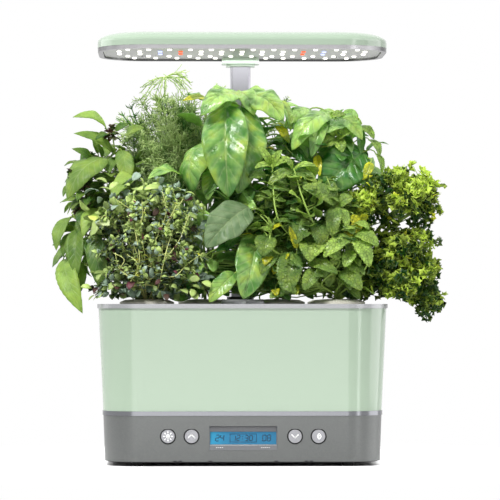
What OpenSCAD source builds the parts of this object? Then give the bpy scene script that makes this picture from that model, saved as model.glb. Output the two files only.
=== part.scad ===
// Countertop hydroponic herb garden: a lift-off water tank on a powered base,
// a growing deck with six pods, and an LED lamp on a two-stage telescopic mast.
// The front faces -Y, +Z is up, and the origin is the middle of the footprint on the table.

/* [Tank] */
// Width over the deck rim
rim_w = 267; // [262:1:272]
// Depth over the deck rim
rim_d = 160; // [157:1:163]
// Plan corner radius of the deck rim
corner_r = 38; // [35:1:40]
// Width of the tank at its foot
tank_foot_w = 255.8; // [254.6:0.2:257]
// Width of the tank under the rim
tank_top_w = 264.7; // [263:0.1:266]
// Height of the growing deck's top above the table
deck_top_z = 147.5; // [142:0.5:150]
// Thickness of the tank's outer shell
shell_t = 2.2; // [2:0.1:2.4]

/* [Base] */
// Height of the base's top plate above the table
base_top_z = 46; // [45:0.5:48]
// Height of the bright band between base and tank
band_h = 4; // [3.5:0.5:4.5]
// Height of the base's lower edge above the table
base_foot_z = 4.2; // [4:0.1:4.6]
// Width of the base at its lower edge
base_foot_w = 252.4; // [250:0.2:254]
// Width of the base under the band
base_top_w = 255.6; // [254:0.2:256]
// Diameter of a rubber foot
foot_d = 11; // [9:0.5:13]

/* [Controls] */
// Height of the button row above the table
button_z = 27.3; // [26:0.1:28]
// Distance of the inner buttons from the middle
inner_button_x = 47; // [45:0.5:49]
// Distance of the outer buttons from the middle
outer_button_x = 68.4; // [67:0.2:70]
// Diameter of a button cap
button_d = 12; // [10:0.5:12.5]
// Width of the display window
window_w = 61.5; // [58:0.5:64]
// Height of the display window
window_h = 21.8; // [20.6:0.2:22]

/* [Mast] */
// Width of the outer moving tube
mast_w = 19; // [18:0.5:20]
// Depth of the outer moving tube
mast_d = 13; // [12.5:0.5:13.5]
// Distance of the mast behind the middle
mast_y = 60; // [59:0.5:60]
// Length of the outer moving tube
mast_tube_l = 251; // [245:1:252]
// Length of the inner moving tube
inner_tube_l = 134; // [120:1:138]

/* [Pods] */
// Distance of the outer pods from the middle
outer_pod_x = 88; // [85:1:90]
// Distance of the inner pods from the middle
inner_pod_x = 34; // [32:1:35]
// Distance of the outer pods in front of and behind the middle
pod_row_y = 36; // [34:1:38]
// Radius of a basket at the deck
basket_r = 19; // [18:0.5:20]
// Length of a basket under the deck
basket_l = 52; // [45:1:56]

/* [Lamp] */
// Width of the lamp head
lamp_w = 267.6; // [264:0.2:270]
// Depth of the lamp head
lamp_d = 146; // [143:1:148]
// Plan corner radius of the lamp head
lamp_r = 46; // [42:1:50]
// Height of the lamp's underside above the table
lamp_under_z = 380; // [379:1:384]
// Height of the lamp's shell over its bright rim
lamp_shell_h = 13.3; // [12.5:0.1:14]

/* [Hidden] */
$fn = 64;

sage = [0.73, 0.82, 0.72];
silver = [0.72, 0.72, 0.73];
black = [0.1, 0.1, 0.1];
graphite = [0.18, 0.18, 0.19];
lift = 0.01;     // lap that makes two shapes one

// Every level of the body is an offset of the others: the corner centres stay where they are.
corner_at = [rim_w / 2 - corner_r, rim_d / 2 - corner_r];
// Y of the body's rear face, and minus that of its front face, where it is w wide
function half_depth(w) = (w - rim_w + rim_d) / 2;

wall = 2.2;
band_top_z = base_top_z + band_h;
rim_h = 4;
rim_z = deck_top_z - rim_h;
plate_t = 2.5;
plate_z = deck_top_z - plate_t;
deck_gap = 2.2;            // the deck plate lies this far inside the rim's outer face
tank_in = shell_t + 0.8;   // the reservoir's outer face lies this far inside the shell's
floor_z = band_top_z + 2.4;
notch_w = 34;
notch_y = mast_y - 14;
base_plate_z = 3.4;
base_plate_t = 2;
inside_z = base_plate_z + base_plate_t;

// Pods of the thai basil, thyme, dill, basil, parsley and mint.
pods = [
    [-outer_pod_x, pod_row_y], [-outer_pod_x, -pod_row_y], [-inner_pod_x, 0],
    [inner_pod_x, 0], [outer_pod_x, pod_row_y], [outer_pod_x, -pod_row_y],
];

// ---- shared shapes ----

module at(p) translate([p[0], p[1], 0]) children();

module both_ways(x, y) for (sx = [-1, 1], sy = [-1, 1]) at([sx * x, sy * y]) children();

module slab(z0, z1) translate([0, 0, z0]) linear_extrude(z1 - z0) children();

// Rounded rectangle, centred
module plan(w, d, r) {
    square([w - 2 * r, d], center = true);
    square([w, d - 2 * r], center = true);
    for (x = [-1, 1], y = [-1, 1])
        translate([x * (w / 2 - r), y * (d / 2 - r)]) circle(r);
}

// Plan of the body at width w, drawn in by inset
module body_plan(w, inset = 0)
    plan(w - 2 * inset, 2 * (half_depth(w) - inset), w / 2 - corner_at[0] - inset);

// Solid whose section at every height is an offset of a rounded rectangle.
// centre holds the corner centres, edge the [radius, z] points of its side from bottom to top.
module rounded_solid(centre, edge) {
    foot_z = edge[0][1];
    top_z = edge[len(edge) - 1][1];
    for (turn = [0 : 3])
        translate([(turn % 3 == 0 ? 1 : -1) * centre[0], (turn < 2 ? 1 : -1) * centre[1], 0])
            rotate(90 * turn) rotate_extrude(angle = 90)
                polygon(concat([[0, foot_z]], edge, [[0, top_z]]));
    for (turn = [0, 1]) {
        half = centre[turn];
        side = concat(
            [for (e = edge) [half + e[0], e[1]]],
            [for (i = [len(edge) - 1 : -1 : 0]) [-half - edge[i][0], edge[i][1]]]);
        rotate([90, 0, turn * 90])
            linear_extrude(2 * centre[1 - turn], center = true) polygon(side);
    }
}

// Part of the body whose width goes evenly from w0 at z0 to w1 at z1, drawn in by inset
module drafted(w0, w1, z0, z1, inset = 0)
    rounded_solid(corner_at, [[w0 / 2 - corner_at[0] - inset, z0], [w1 / 2 - corner_at[0] - inset, z1]]);

// Space behind the tank where the mast stands
module notch(z0, z1, grow = 0)
    translate([-notch_w / 2 - grow, notch_y - grow, z0])
        cube([notch_w + 2 * grow, 60, z1 - z0]);

module rod(p, q, r) {
    v = q - p;
    translate(p)
        rotate([0, acos(v[2] / norm(v)), atan2(v[1], v[0])])
            cylinder(h = norm(v), r = r, $fn = 16);
}

module along_y(x, y0, y1, z, r)
    translate([x, y0, z]) rotate([-90, 0, 0]) cylinder(h = y1 - y0, r = r);

module along_x(x, y, z, r)
    translate([-x, y, z]) rotate([0, 90, 0]) cylinder(h = 2 * x, r = r);

// ---- base ----

// Width of the base at height z
function base_w(z) =
    base_foot_w + (base_top_w - base_foot_w) * (z - base_foot_z) / (base_top_z - base_foot_z);

button_face_y = -half_depth(base_w(button_z));
button_gap = 0.7;
inlet_at = [70, half_depth(base_w(20)), 20];
boss_at = [105, 48];
foot_at = [96, 58];
sleeve_screw_x = 17;
screw_r = 1.2;
screw_places = concat(
    [for (x = [-1, 1], y = [-1, 1]) [x * boss_at[0], y * boss_at[1]]],
    [for (x = [-1, 1]) [x * sleeve_screw_x, mast_y]]);

module each_button() for (x = [-1, 1], far = [inner_button_x, outer_button_x]) at([x * far, 0]) children();

module base_housing() color(silver) {
    difference() {
        drafted(base_foot_w, base_top_w, base_foot_z, base_top_z);
        drafted(base_w(base_foot_z - 1), base_w(base_top_z - wall), base_foot_z - 1, base_top_z - wall, wall);
        each_button() along_y(0, button_face_y - 5, button_face_y + 5, button_z, button_d / 2 + button_gap);
        translate([-window_w / 2, button_face_y - 5, window_z - window_h / 2])
            cube([window_w, 10, window_h]);
        along_y(inlet_at[0], inlet_at[1] - 5, inlet_at[1] + 5, inlet_at[2], 4.6);
        slab(base_top_z - 5, base_top_z + 1)
            translate([0, mast_y]) plan(sleeve_w + 0.6, sleeve_d + 0.6, 4.3);
        // small notches in the lower front edge
        for (x = [-1, 1], n = [[30, 3.5], [57.3, 3], [62, 3]])
            translate([x * n[0] - n[1] / 2, -rim_d / 2, base_foot_z - 1]) cube([n[1], 12, 2]);
    }
    both_ways(boss_at[0], boss_at[1]) difference() {
        slab(inside_z, base_top_z - 1) circle(3.6);
        slab(inside_z - 1, inside_z + 14) circle(screw_r + 0.05);
    }
}

module base_plate() color(graphite)
    difference() {
        slab(base_plate_z, inside_z) body_plan(base_foot_w, wall + 0.3);
        for (p = screw_places) at(p) {
            cylinder(h = 20, r = screw_r + 0.4);
            slab(base_plate_z - 1, base_plate_z + 1) circle(3.2);
        }
        for (x = [-8 : 8])
            translate([x * 9 - 1.5, -40, base_plate_z - 1]) cube([3, 16, 5]);
    }

module base_screws() color("silver")
    for (p = screw_places) at(p) {
        slab(base_plate_z - 0.4, base_plate_z + 1) circle(3);
        slab(base_plate_z + 0.9, base_plate_z + (abs(p[0]) < boss_at[0] ? 4.9 : 12.9)) circle(screw_r);
    }

module rubber_feet() color(black)
    both_ways(foot_at[0], foot_at[1])
        cylinder(h = base_plate_z, r1 = foot_d / 2 - 0.4, r2 = foot_d / 2);

module trim_band() color([0.85, 0.85, 0.86])
    difference() {
        slab(base_top_z, band_top_z) body_plan(base_top_w + 1.4);
        slab(base_top_z - 1, band_top_z + 1) body_plan(base_top_w, 5);
    }

// ---- display and buttons ----

window_z = 25.6;
window_foot_z = window_z - window_h / 2;
frame_y = button_face_y + 0.3;
frame_slope = 9.5;      // the display leans back by this angle
frame_back_y = frame_y + 5.8;
lcd_w = 60.3;
lcd_h = 11.8;
lcd_up = 5.2;           // distance of the screen up the sloping face

// Shapes laid on the display's sloping face, whose lower edge is the X axis
module on_slope() translate([0, frame_y, window_foot_z]) rotate([-frame_slope, 0, 0]) children();

module display_frame() color([0.45, 0.45, 0.46])
    difference() {
        rotate([90, 0, 90]) linear_extrude(window_w - 0.2, center = true)
            polygon([
                [frame_y, window_foot_z + 0.1],
                [frame_y + window_h * tan(frame_slope), window_foot_z + window_h - 0.1],
                [frame_back_y, window_foot_z + window_h - 0.1],
                [frame_back_y, window_foot_z + 0.1]]);
        on_slope() translate([-lcd_w / 2, -2, lcd_up]) cube([lcd_w, 12, lcd_h]);
    }

module display_lens() color([0.2, 0.6, 0.85, 0.6])
    on_slope() translate([-lcd_w / 2 + 0.1, 0.35, lcd_up + 0.1]) cube([lcd_w - 0.2, 1.2, lcd_h - 0.2]);

module display_module() color([0.15, 0.45, 0.7])
    translate([-33, frame_back_y + 0.1, window_z - 12]) cube([66, 3, 24]);

board_y = button_face_y + 13.4;
plunger_y = board_y - 4.2;
button_travel = 0.9;

module control_board() color([0.1, 0.35, 0.2]) {
    translate([-82, board_y, 9]) cube([164, 1.6, 32]);
    for (x = [-20, 12]) translate([x, board_y + 1.6, 16]) cube([14, 2.2, 14]);
}

module tact_switches() color([0.12, 0.12, 0.12])
    each_button() {
        translate([-3, board_y - 3.4, button_z - 3]) cube([6, 3.4, 6]);
        along_y(0, plunger_y, board_y - 3.4, button_z, 1.6);
    }

// Cap, the flange that holds it behind the wall, and the stem to its switch
module push_button(x) color([0.78, 0.78, 0.79]) {
    along_y(x, button_face_y - 0.7, button_face_y + 4, button_z, button_d / 2);
    along_y(x, button_face_y + wall + 0.4, button_face_y + 4, button_z, button_d / 2 + 1.8);
    along_y(x, button_face_y + 4 - lift, plunger_y - button_travel, button_z, 2);
}

module light_button() push_button(-outer_button_x);
module up_button() push_button(-inner_button_x);
module down_button() push_button(inner_button_x);
module feed_button() push_button(outer_button_x);

module power_inlet() color(black)
    translate(inlet_at) difference() {
        union() {
            translate([-5.5, -16, -5.5]) cube([11, 13, 11]);
            along_y(0, -4, -0.2, 0, 4.5);
        }
        difference() {
            along_y(0, -10, 1, 0, 2.8);
            along_y(0, -11, -1.5, 0, 1);
        }
    }

// ---- pump: the motor in the base turns the impeller through the tank's floor by magnets ----

pump_at = [0, 8];
magnet_z = base_top_z - wall - 6.6;

module pump_motor() color([0.6, 0.6, 0.62])
    at(pump_at) difference() {
        union() {
            slab(inside_z, magnet_z - 3) circle(15);
            slab(magnet_z - 3 - lift, magnet_z - 1.5) circle(5);
        }
        slab(magnet_z - 12, magnet_z) circle(1.55);
    }

module drive_magnet() color([0.3, 0.3, 0.32])
    at(pump_at) {
        slab(magnet_z, magnet_z + 4) circle(12);
        slab(magnet_z - 10, magnet_z + 1) circle(1.5);
    }

module impeller_pin() color("silver") at(pump_at) slab(floor_z, floor_z + 12.4) circle(1.25);

module impeller() color([0.15, 0.15, 0.16])
    at(pump_at) translate([0, 0, floor_z + 0.8]) difference() {
        union() {
            cylinder(h = 4, r = 11);
            cylinder(h = 10, r = 3);
            for (a = [0 : 60 : 300]) rotate(a) translate([2, -0.6, 3]) cube([8.5, 1.2, 6]);
        }
        translate([0, 0, -1]) cylinder(h = 20, r = 1.3);
    }

cover_r = 17;
cover_h = 15;
riser_y = 22;

module pump_cover() color([0.16, 0.16, 0.17])
    difference() {
        union() {
            at(pump_at) slab(floor_z, floor_z + cover_h) circle(cover_r);
            at([0, riser_y]) slab(floor_z, plate_z - 6.5) circle(4.5);
        }
        at(pump_at) slab(floor_z - 1, floor_z + cover_h - 2) circle(12.5);
        at([0, riser_y]) slab(floor_z + 4, plate_z) circle(3);
        translate([-1.5, pump_at[1], floor_z + 5]) cube([3, riser_y - pump_at[1], 6]);
        translate([-8, pump_at[1] - 30, floor_z + 4]) cube([16, 20, 7]);
    }

module pump_filter() color([0.9, 0.9, 0.85])
    intersection() {
        translate([-7.8, pump_at[1] - cover_r, floor_z + 4.2]) cube([15.6, 4, 6.6]);
        at(pump_at) slab(floor_z, floor_z + cover_h) circle(cover_r - 0.2);
    }

// ---- tank ----

module tank_shell() color(sage)
    difference() {
        drafted(tank_foot_w, tank_top_w, band_top_z, rim_z);
        difference() {
            drafted(tank_foot_w, tank_top_w, band_top_z, rim_z, shell_t);
            notch(band_top_z - 1, rim_z + 1, shell_t);
        }
        notch(band_top_z - 1, rim_z + 1);
    }

module reservoir() color(graphite) {
    inner = tank_in + wall;
    difference() {
        drafted(tank_foot_w, tank_top_w, band_top_z, rim_z, tank_in);
        difference() {
            drafted(tank_foot_w, tank_top_w, floor_z, rim_z + 1, inner);
            notch(band_top_z - 1, rim_z + 2, inner);
        }
        notch(band_top_z - 1, rim_z + 1, tank_in);
    }
    // flange that lies on the shell's edge
    slab(rim_z, plate_z) difference() {
        body_plan(rim_w, deck_gap + 0.4);
        difference() {
            body_plan(tank_top_w, inner);
            translate([-notch_w / 2 - inner, notch_y - inner]) square([notch_w + 2 * inner, 60]);
        }
        translate([-notch_w / 2 - 0.8, notch_y - 0.8]) square([notch_w + 1.6, 60]);
    }
    // foot that drops inside the band
    slab(base_top_z + 0.8, band_top_z + lift) difference() {
        body_plan(base_top_w, 6.2);
        body_plan(base_top_w, 9.2);
        translate([-notch_w / 2 - tank_in, notch_y - tank_in]) square([notch_w + 2 * tank_in, 60]);
    }
}

// ---- growing deck ----

port_y = -52;
hinge_y = -36;
hinge_z = deck_top_z + 2.2;
hinge_pin_r = 1;
lid_w = 39;
lid_d = 27;
lid_y = port_y - 0.8;

module grow_deck() color([0.75, 0.75, 0.76])
    difference() {
        union() {
            slab(plate_z, deck_top_z) body_plan(rim_w, deck_gap);
            // skirt that centres the deck in the reservoir
            difference() {
                slab(plate_z - 6, plate_z + lift) body_plan(tank_top_w, tank_in + wall + 1);
                slab(plate_z - 7, plate_z + 1) body_plan(tank_top_w, tank_in + wall + 2.8);
                notch(plate_z - 8, plate_z + 2, tank_in + wall + 1);
            }
            for (x = [-1, 1])
                translate([x * 17.4 - 1.6, hinge_y - 2.2, deck_top_z - lift]) cube([3.2, 4.4, 4.4]);
        }
        notch(plate_z - 8, deck_top_z + 5, 1);
        for (p = pods) at(p) slab(plate_z - 1, deck_top_z + 1) circle(basket_r + 0.6);
        slab(plate_z - 1, deck_top_z + 1) translate([0, port_y]) plan(34, 22, 4);
        along_x(30, hinge_y, hinge_z, hinge_pin_r + 0.02);
    }

module deck_rim() color([0.7, 0.7, 0.71])
    difference() {
        slab(rim_z, deck_top_z) body_plan(rim_w);
        slab(rim_z - 1, deck_top_z + 1) body_plan(rim_w, deck_gap);
        notch(rim_z - 2, deck_top_z + 2, 1);
    }

module lid_pin() color("silver") along_x(18.8, hinge_y, hinge_z, hinge_pin_r);

module fill_lid() color([0.75, 0.75, 0.76])
    difference() {
        union() {
            slab(deck_top_z + 0.2, deck_top_z + 2.2) translate([0, lid_y]) plan(lid_w, lid_d, 4);
            translate([-15.5, hinge_y - 4, deck_top_z + 0.4]) cube([31, 4, 1.8]);
            along_x(15.5, hinge_y, hinge_z, 2);
        }
        along_x(30, hinge_y, hinge_z, hinge_pin_r + 0.08);
        // hollow for a fingertip
        translate([0, port_y - 17, deck_top_z + 4]) sphere(r = 5);
    }

// ---- pods ----

basket_foot_r = 13;
basket_t = 1.3;
collar_r = 25;

// Tapered basket with a flat rim, four tall windows and holes in its foot
module grow_basket(i) color([0.92, 0.92, 0.9])
    at(pods[i]) translate([0, 0, deck_top_z]) difference() {
        rotate_extrude() polygon([
            [0, -basket_l], [basket_foot_r, -basket_l], [basket_r, 0],
            [basket_r + 3, 0], [basket_r + 3, 1.2], [basket_r - basket_t, 1.2],
            [basket_foot_r - basket_t, basket_t - basket_l], [0, basket_t - basket_l]]);
        for (a = [0, 90]) rotate(a)
            translate([-30, -3, -basket_l + 6]) cube([60, 6, basket_l - 18]);
        for (a = [45 : 90 : 315]) rotate(a)
            translate([7.5, 0, -basket_l - 1]) cylinder(h = 4, r = 2);
    }

module grow_basket_1() grow_basket(0);
module grow_basket_2() grow_basket(1);
module grow_basket_3() grow_basket(2);
module grow_basket_4() grow_basket(3);
module grow_basket_5() grow_basket(4);
module grow_basket_6() grow_basket(5);

// Shallow domed ring over the basket's rim
module pod_collar(i) color([0.93, 0.92, 0.88])
    at(pods[i]) translate([0, 0, deck_top_z]) rotate_extrude() polygon([
        [collar_r, 0], [collar_r, 1.8], [collar_r - 5, 3.8], [9, 4.6],
        [9, 3.6], [collar_r - 5.4, 2.8], [collar_r - 2.6, 1.6], [collar_r - 2.6, 0]]);

module pod_collar_1() pod_collar(0);
module pod_collar_2() pod_collar(1);
module pod_collar_3() pod_collar(2);
module pod_collar_4() pod_collar(3);
module pod_collar_5() pod_collar(4);
module pod_collar_6() pod_collar(5);

module grow_sponges() color([0.35, 0.24, 0.15])
    for (p = pods) at(p) translate([0, 0, deck_top_z - basket_l + basket_t + 0.1]) difference() {
        cylinder(h = basket_l - 2, r1 = basket_foot_r - basket_t - 0.3, r2 = basket_r - 3);
        translate([0, 0, basket_l - 22]) cylinder(h = 30, r = 3.4);
    }

// ---- plants: stems from the sponge, crowns of foliage as lumpy closed masses, and the largest leaves ----

stem_foot_z = deck_top_z - 16;
stem_neck_h = 26;

// Closed skin over points: a first end, rings of around points, and a last end
module skin(points, around, rings) {
    last = len(points) - 1;
    function on(i, j) = 1 + (i - 1) * around + j % around;
    polyhedron(points, concat(
        [for (j = [0 : around - 1]) [0, on(1, j + 1), on(1, j)]],
        [for (i = [1 : rings - 2], j = [0 : around - 1]) [on(i, j), on(i, j + 1), on(i + 1, j)]],
        [for (i = [1 : rings - 2], j = [0 : around - 1]) [on(i, j + 1), on(i + 1, j + 1), on(i + 1, j)]],
        [for (j = [0 : around - 1]) [last, on(rings - 1, j), on(rings - 1, j + 1)]]));
}

// Radius of a crown, as a share of its even radius, towards longitude u and polar angle v
function lump(u, v, seed) =
    1 + sin(v) * (0.06 * sin(3 * u + 70 * seed) + 0.05 * sin(5 * u + 3 * v + 131 * seed)
      + 0.03 * sin(4 * v + 57 * seed));

// Crown round a middle: rings of points from pole to pole
module crown(middle, radii, seed, around = 20, rings = 11)
    skin(concat(
        [middle + [0, 0, radii[2]]],
        [for (i = [1 : rings - 1], j = [0 : around - 1])
            let (v = 180 * i / rings, u = 360 * j / around, r = lump(u, v, seed))
            middle + [radii[0] * r * sin(v) * cos(u), radii[1] * r * sin(v) * sin(u), radii[2] * r * cos(v)]],
        [middle - [0, 0, radii[2]]]), around, rings);

function unit(v) = v / norm(v);

// Large leaf from its base to its tip: a lens that bulges to its face, on a stalk from the heart of its crown
module leaf(heart, base, tip, width, face = [0, -1, 0.5], thick = 3.6, rings = 7, stalk_r = 1.2) {
    long = norm(tip - base);
    ahead = unit(tip - base);
    side = unit(cross(ahead, face));
    up = cross(side, ahead);
    function chord(v) = base + ahead * long * v + up * 0.5 * long * v * (1 - v);
    rod(heart, chord(1 / rings), stalk_r);
    skin(concat([base],
        [for (i = [1 : rings - 1])
            let (v = i / rings,
                half_w = width / 2 * pow(sin(180 * pow(v, 0.8)), 0.8),
                half_t = half_w * thick / width)
            each [chord(v) + side * half_w, chord(v) + up * half_t,
                  chord(v) - side * half_w, chord(v) - up * half_t]],
        [tip]), 4, rings);
}

// Stems from a pod up to the points given
module stems(pod, r, tips) {
    foot = [pods[pod][0], pods[pod][1], stem_foot_z];
    neck = foot + [0, 0, stem_neck_h];
    rod(foot, neck, r + 0.6);
    translate(neck) sphere(r = r + 0.6, $fn = 20);
    for (t = tips) rod(neck, t, r);
}

module thai_basil() color([0.36, 0.5, 0.25]) {
    top = [-124, 12, 297];
    middle = [-127, 15, 256];
    low = [-139, 4, 202];
    stems(0, 1.6, [[-126, 14, 290], [-142, 2, 224]]);
    crown(top, [25, 23, 25], 1);
    crown(middle, [31, 29, 33], 2);
    crown(low, [28, 25, 36], 3);
    leaf(top, [-126, 4, 311], [-157, -14, 321], 16, [0, -0.6, 1]);
    leaf(top, [-120, 6, 289], [-156, -12, 306], 18, [0, -0.6, 1]);
    leaf(top, [-126, 0, 284], [-162, -24, 244], 33, [-0.5, -1, 0.7]);
    leaf(top, [-112, -4, 291], [-106, -24, 256], 18);
    leaf(middle, [-96, -14, 268], [-120, -36, 251], 16);
    leaf(low, [-154, -10, 226], [-173, -24, 197], 17, [-0.5, -1, 0.3]);
    leaf(low, [-154, -14, 189], [-147, -46, 139], 23);
}

module thyme() color([0.42, 0.5, 0.3]) {
    stems(1, 1.4, [[-86, -42, 190]]);
    crown([-84, -44, 206], [52, 32, 51], 4);
}

module dill() color([0.35, 0.5, 0.28]) {
    stems(2, 1.4, [[-62, 38, 290]]);
    crown([-71, 46, 302], [32, 24, 36], 5);
    crown([-74, 44, 344], [26, 20, 21], 6);
}

module basil() color([0.35, 0.62, 0.2]) {
    left = [6, 4, 284];
    right = [80, 10, 278];
    low = [-4, -27, 190];
    stems(3, 1.8, [[4, -2, 268], [62, 4, 275], [-2, -30, 186]]);
    crown(left, [42, 32, 43], 7);
    crown(right, [41, 31, 41], 8);
    crown(low, [24, 32, 39], 9);
    leaf(left, [-15, -22, 332], [-13, -50, 245], 44);
    leaf(left, [-1, -18, 331], [-4, -38, 249], 42);
    leaf(left, [-6, -14, 336], [-38, -44, 320], 26, [0, -0.6, 1]);
    leaf(left, [10, -10, 338], [36, -30, 315], 28, [0, -0.6, 1]);
    leaf(left, [-26, -16, 298], [-46, -40, 251], 34, [-0.6, -1, 0.5]);
    leaf(left, [-26, -10, 268], [-84, -50, 262], 16, [0, -0.6, 1]);
    leaf(low, [5, -40, 237], [-34, -66, 199], 37);
    leaf(low, [6, -40, 211], [-2, -64, 154], 30);
    leaf(right, [82, -4, 323], [47, -24, 292], 23, [0, -0.8, 1]);
    leaf(right, [108, -6, 290], [72, -22, 252], 42);
}

module parsley() color([0.3, 0.55, 0.15]) {
    stems(4, 1.6, [[120, 10, 190]]);
    crown([150, -14, 240], [35, 40, 36], 10);
    crown([144, 6, 188], [38, 42, 32], 11);
    crown([164, -20, 172], [19, 30, 28], 12);
}

module mint() color([0.22, 0.42, 0.18]) {
    stems(5, 1.6, [[72, -42, 190]]);
    crown([66, -46, 207], [46, 28, 50], 13);
    crown([46, -58, 258], [36, 19, 27], 14);
}

// ---- mast ----

mast_t = 1.6;
slide_gap = 0.25;
sleeve_t = 2.2;
sleeve_top_z = deck_top_z + 4.5;
sleeve_w = mast_w + 2 * slide_gap + 2 * sleeve_t;
sleeve_d = mast_d + 2 * slide_gap + 2 * sleeve_t;
inner_w = mast_w - 2 * mast_t - 2 * slide_gap;
inner_d = mast_d - 2 * mast_t - 2 * slide_gap;
collar_z = lamp_under_z - 6.4;
mast_top_z = collar_z - 0.3;
inner_reach = 14;    // height of the inner tube over the outer one

module tube(w, d, r, t, z0, z1)
    at([0, mast_y]) slab(z0, z1) difference() {
        plan(w, d, r);
        plan(w - 2 * t, d - 2 * t, r - t);
    }

module mast_sleeve() color(silver) {
    tube(sleeve_w, sleeve_d, 4, sleeve_t, inside_z, sleeve_top_z);
    at([0, mast_y]) slab(inside_z, inside_z + 3) difference() {
        plan(46, 20, 4);
        plan(sleeve_w - 1, sleeve_d - 1, 3.5);
        for (x = [-1, 1]) translate([x * sleeve_screw_x, 0]) circle(screw_r + 0.05);
    }
}

module mast_bush() color(graphite)
    tube(sleeve_w + 1.6, sleeve_d + 1.6, 4.8, 3, sleeve_top_z, sleeve_top_z + 2.5);

module mast_tube() color([0.8, 0.8, 0.82])
    tube(mast_w, mast_d, 3, mast_t, mast_top_z - mast_tube_l, mast_top_z);

module inner_tube() color([0.8, 0.8, 0.82])
    tube(inner_w, inner_d, 2.4, 1.4, mast_top_z + inner_reach - inner_tube_l, mast_top_z + inner_reach);

// Coiled lead inside the mast, as the tube that its turns fill
module lamp_lead() color(black)
    at([0, mast_y]) slab(inside_z + 4, mast_top_z + inner_reach - 2) circle(2.9);

// ---- lamp head ----

lamp_lip_z = lamp_under_z + 3.7;
lamp_side_h = 5;
lamp_crown_in = 22;     // the top's round edge comes in by this much
board_z = lamp_under_z + 1.5;
board_t = 1.6;
lamp_centre = [lamp_w / 2 - lamp_r, lamp_d / 2 - lamp_r];
lamp_screw_places = [for (x = [-1, 1], y = [-56, 36]) [x * 92, y]];

module lamp_plan(inset = 0) plan(lamp_w - 2 * inset, lamp_d - 2 * inset, lamp_r - inset);

// Form of the lamp's shell, drawn in by inset: an upright side and an elliptical shoulder
module lamp_form(inset, foot_z)
    rounded_solid(lamp_centre, concat(
        [[lamp_r - inset, foot_z]],
        [for (a = [0 : 10 : 90])
            [lamp_r - inset - lamp_crown_in * (1 - cos(a)),
             lamp_lip_z + lamp_side_h + (lamp_shell_h - lamp_side_h - inset) * sin(a)]]));

module lamp_shell() color(sage)
    difference() {
        lamp_form(0, lamp_lip_z);
        lamp_form(wall, lamp_lip_z - 1);
    }

module lamp_bezel() color([0.6, 0.6, 0.61])
    slab(lamp_under_z, lamp_lip_z) difference() {
        lamp_plan(0.3);
        lamp_plan(5);
    }

module mast_way() translate([0, mast_y]) plan(inner_w + 1, inner_d + 0.6, 2.4);

module led_board() color([0.9, 0.9, 0.88])
    slab(board_z, board_z + board_t) difference() {
        lamp_plan(5.3);
        mast_way();
        for (p = lamp_screw_places) translate(p) circle(screw_r + 0.2);
    }

// Each row of LEDs: its Y, the distance between neighbours, and their number
led_rows = [[-44, 19.2, 12], [-23, 19, 13], [4, 19, 13], [28, 19.4, 12]];
mixed_rows = [1, 2];
red_places = [3, 9];
blue_places = [2, 10];
rear_led_y = 50;
rear_led_x = [24, 40.5, 60.5, 80.6, 100.8];

module led_at(x, y) translate([x, y, board_z - 1]) cylinder(h = 1, r1 = 1.7, r2 = 2.2);

module led_in_row(r, i) led_at((i - (led_rows[r][2] - 1) / 2) * led_rows[r][1], led_rows[r][0]);

function is_coloured(r, i) = len(search(r, mixed_rows)) > 0
    && len(search(i, concat(red_places, blue_places))) > 0;

module leds_white() color([1, 1, 0.95]) {
    for (r = [0 : len(led_rows) - 1], i = [0 : led_rows[r][2] - 1])
        if (!is_coloured(r, i)) led_in_row(r, i);
    for (x = rear_led_x, side = [-1, 1]) led_at(side * x, rear_led_y);
}

module leds_red() color([0.95, 0.35, 0.2])
    for (r = mixed_rows, i = red_places) led_in_row(r, i);

module leds_blue() color([0.75, 0.75, 1])
    for (r = mixed_rows, i = blue_places) led_in_row(r, i);

module lamp_screws() color("silver")
    for (p = lamp_screw_places) at(p) {
        slab(board_z - 0.9, board_z) circle(2.2);
        slab(board_z - lift, board_z + 5) circle(screw_r);
    }

module heat_sink() color([0.75, 0.75, 0.77])
    difference() {
        union() {
            slab(board_z + board_t, board_z + board_t + 1.8) lamp_plan(12);
            for (x = [-5 : 5]) if (x != 0)
                translate([x * 18 - 0.8, -46, board_z + board_t]) cube([1.6, 84, 6]);
        }
        slab(board_z, board_z + 20) translate([0, mast_y]) plan(40, 30, 3);
        for (p = lamp_screw_places) at(p) slab(board_z, board_z + 20) circle(screw_r + 0.05);
    }

// Stepped collar under the lamp that the mast's top goes into
module lamp_collar() color(sage)
    difference() {
        union() {
            slab(collar_z, collar_z + 2.5) translate([0, mast_y]) plan(27.3, 19, 6);
            slab(collar_z + 2.4, lamp_under_z - 0.1) translate([0, mast_y - 0.5]) plan(35.3, 25, 5);
            slab(lamp_under_z - 0.2, board_z) translate([0, mast_y - 3.5]) plan(35.3, 21, 4);
        }
        slab(collar_z - 1, board_z + 1) mast_way();
    }

// ---- drawing ----

base_housing();
base_plate();
base_screws();
rubber_feet();
trim_band();
display_frame();
display_lens();
display_module();
control_board();
tact_switches();
light_button();
up_button();
down_button();
feed_button();
power_inlet();
pump_motor();
drive_magnet();
tank_shell();
reservoir();
impeller_pin();
impeller();
pump_cover();
pump_filter();
grow_deck();
deck_rim();
fill_lid();
lid_pin();
grow_basket_1();
grow_basket_2();
grow_basket_3();
grow_basket_4();
grow_basket_5();
grow_basket_6();
pod_collar_1();
pod_collar_2();
pod_collar_3();
pod_collar_4();
pod_collar_5();
pod_collar_6();
grow_sponges();
thai_basil();
thyme();
dill();
basil();
parsley();
mint();
mast_sleeve();
mast_bush();
mast_tube();
inner_tube();
lamp_lead();
lamp_shell();
lamp_bezel();
led_board();
leds_white();
leds_red();
leds_blue();
heat_sink();
lamp_collar();
lamp_screws();
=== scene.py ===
"""Countertop hydroponic herb garden: its herbs, finishes, screen, buttons and lights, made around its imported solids."""

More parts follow.
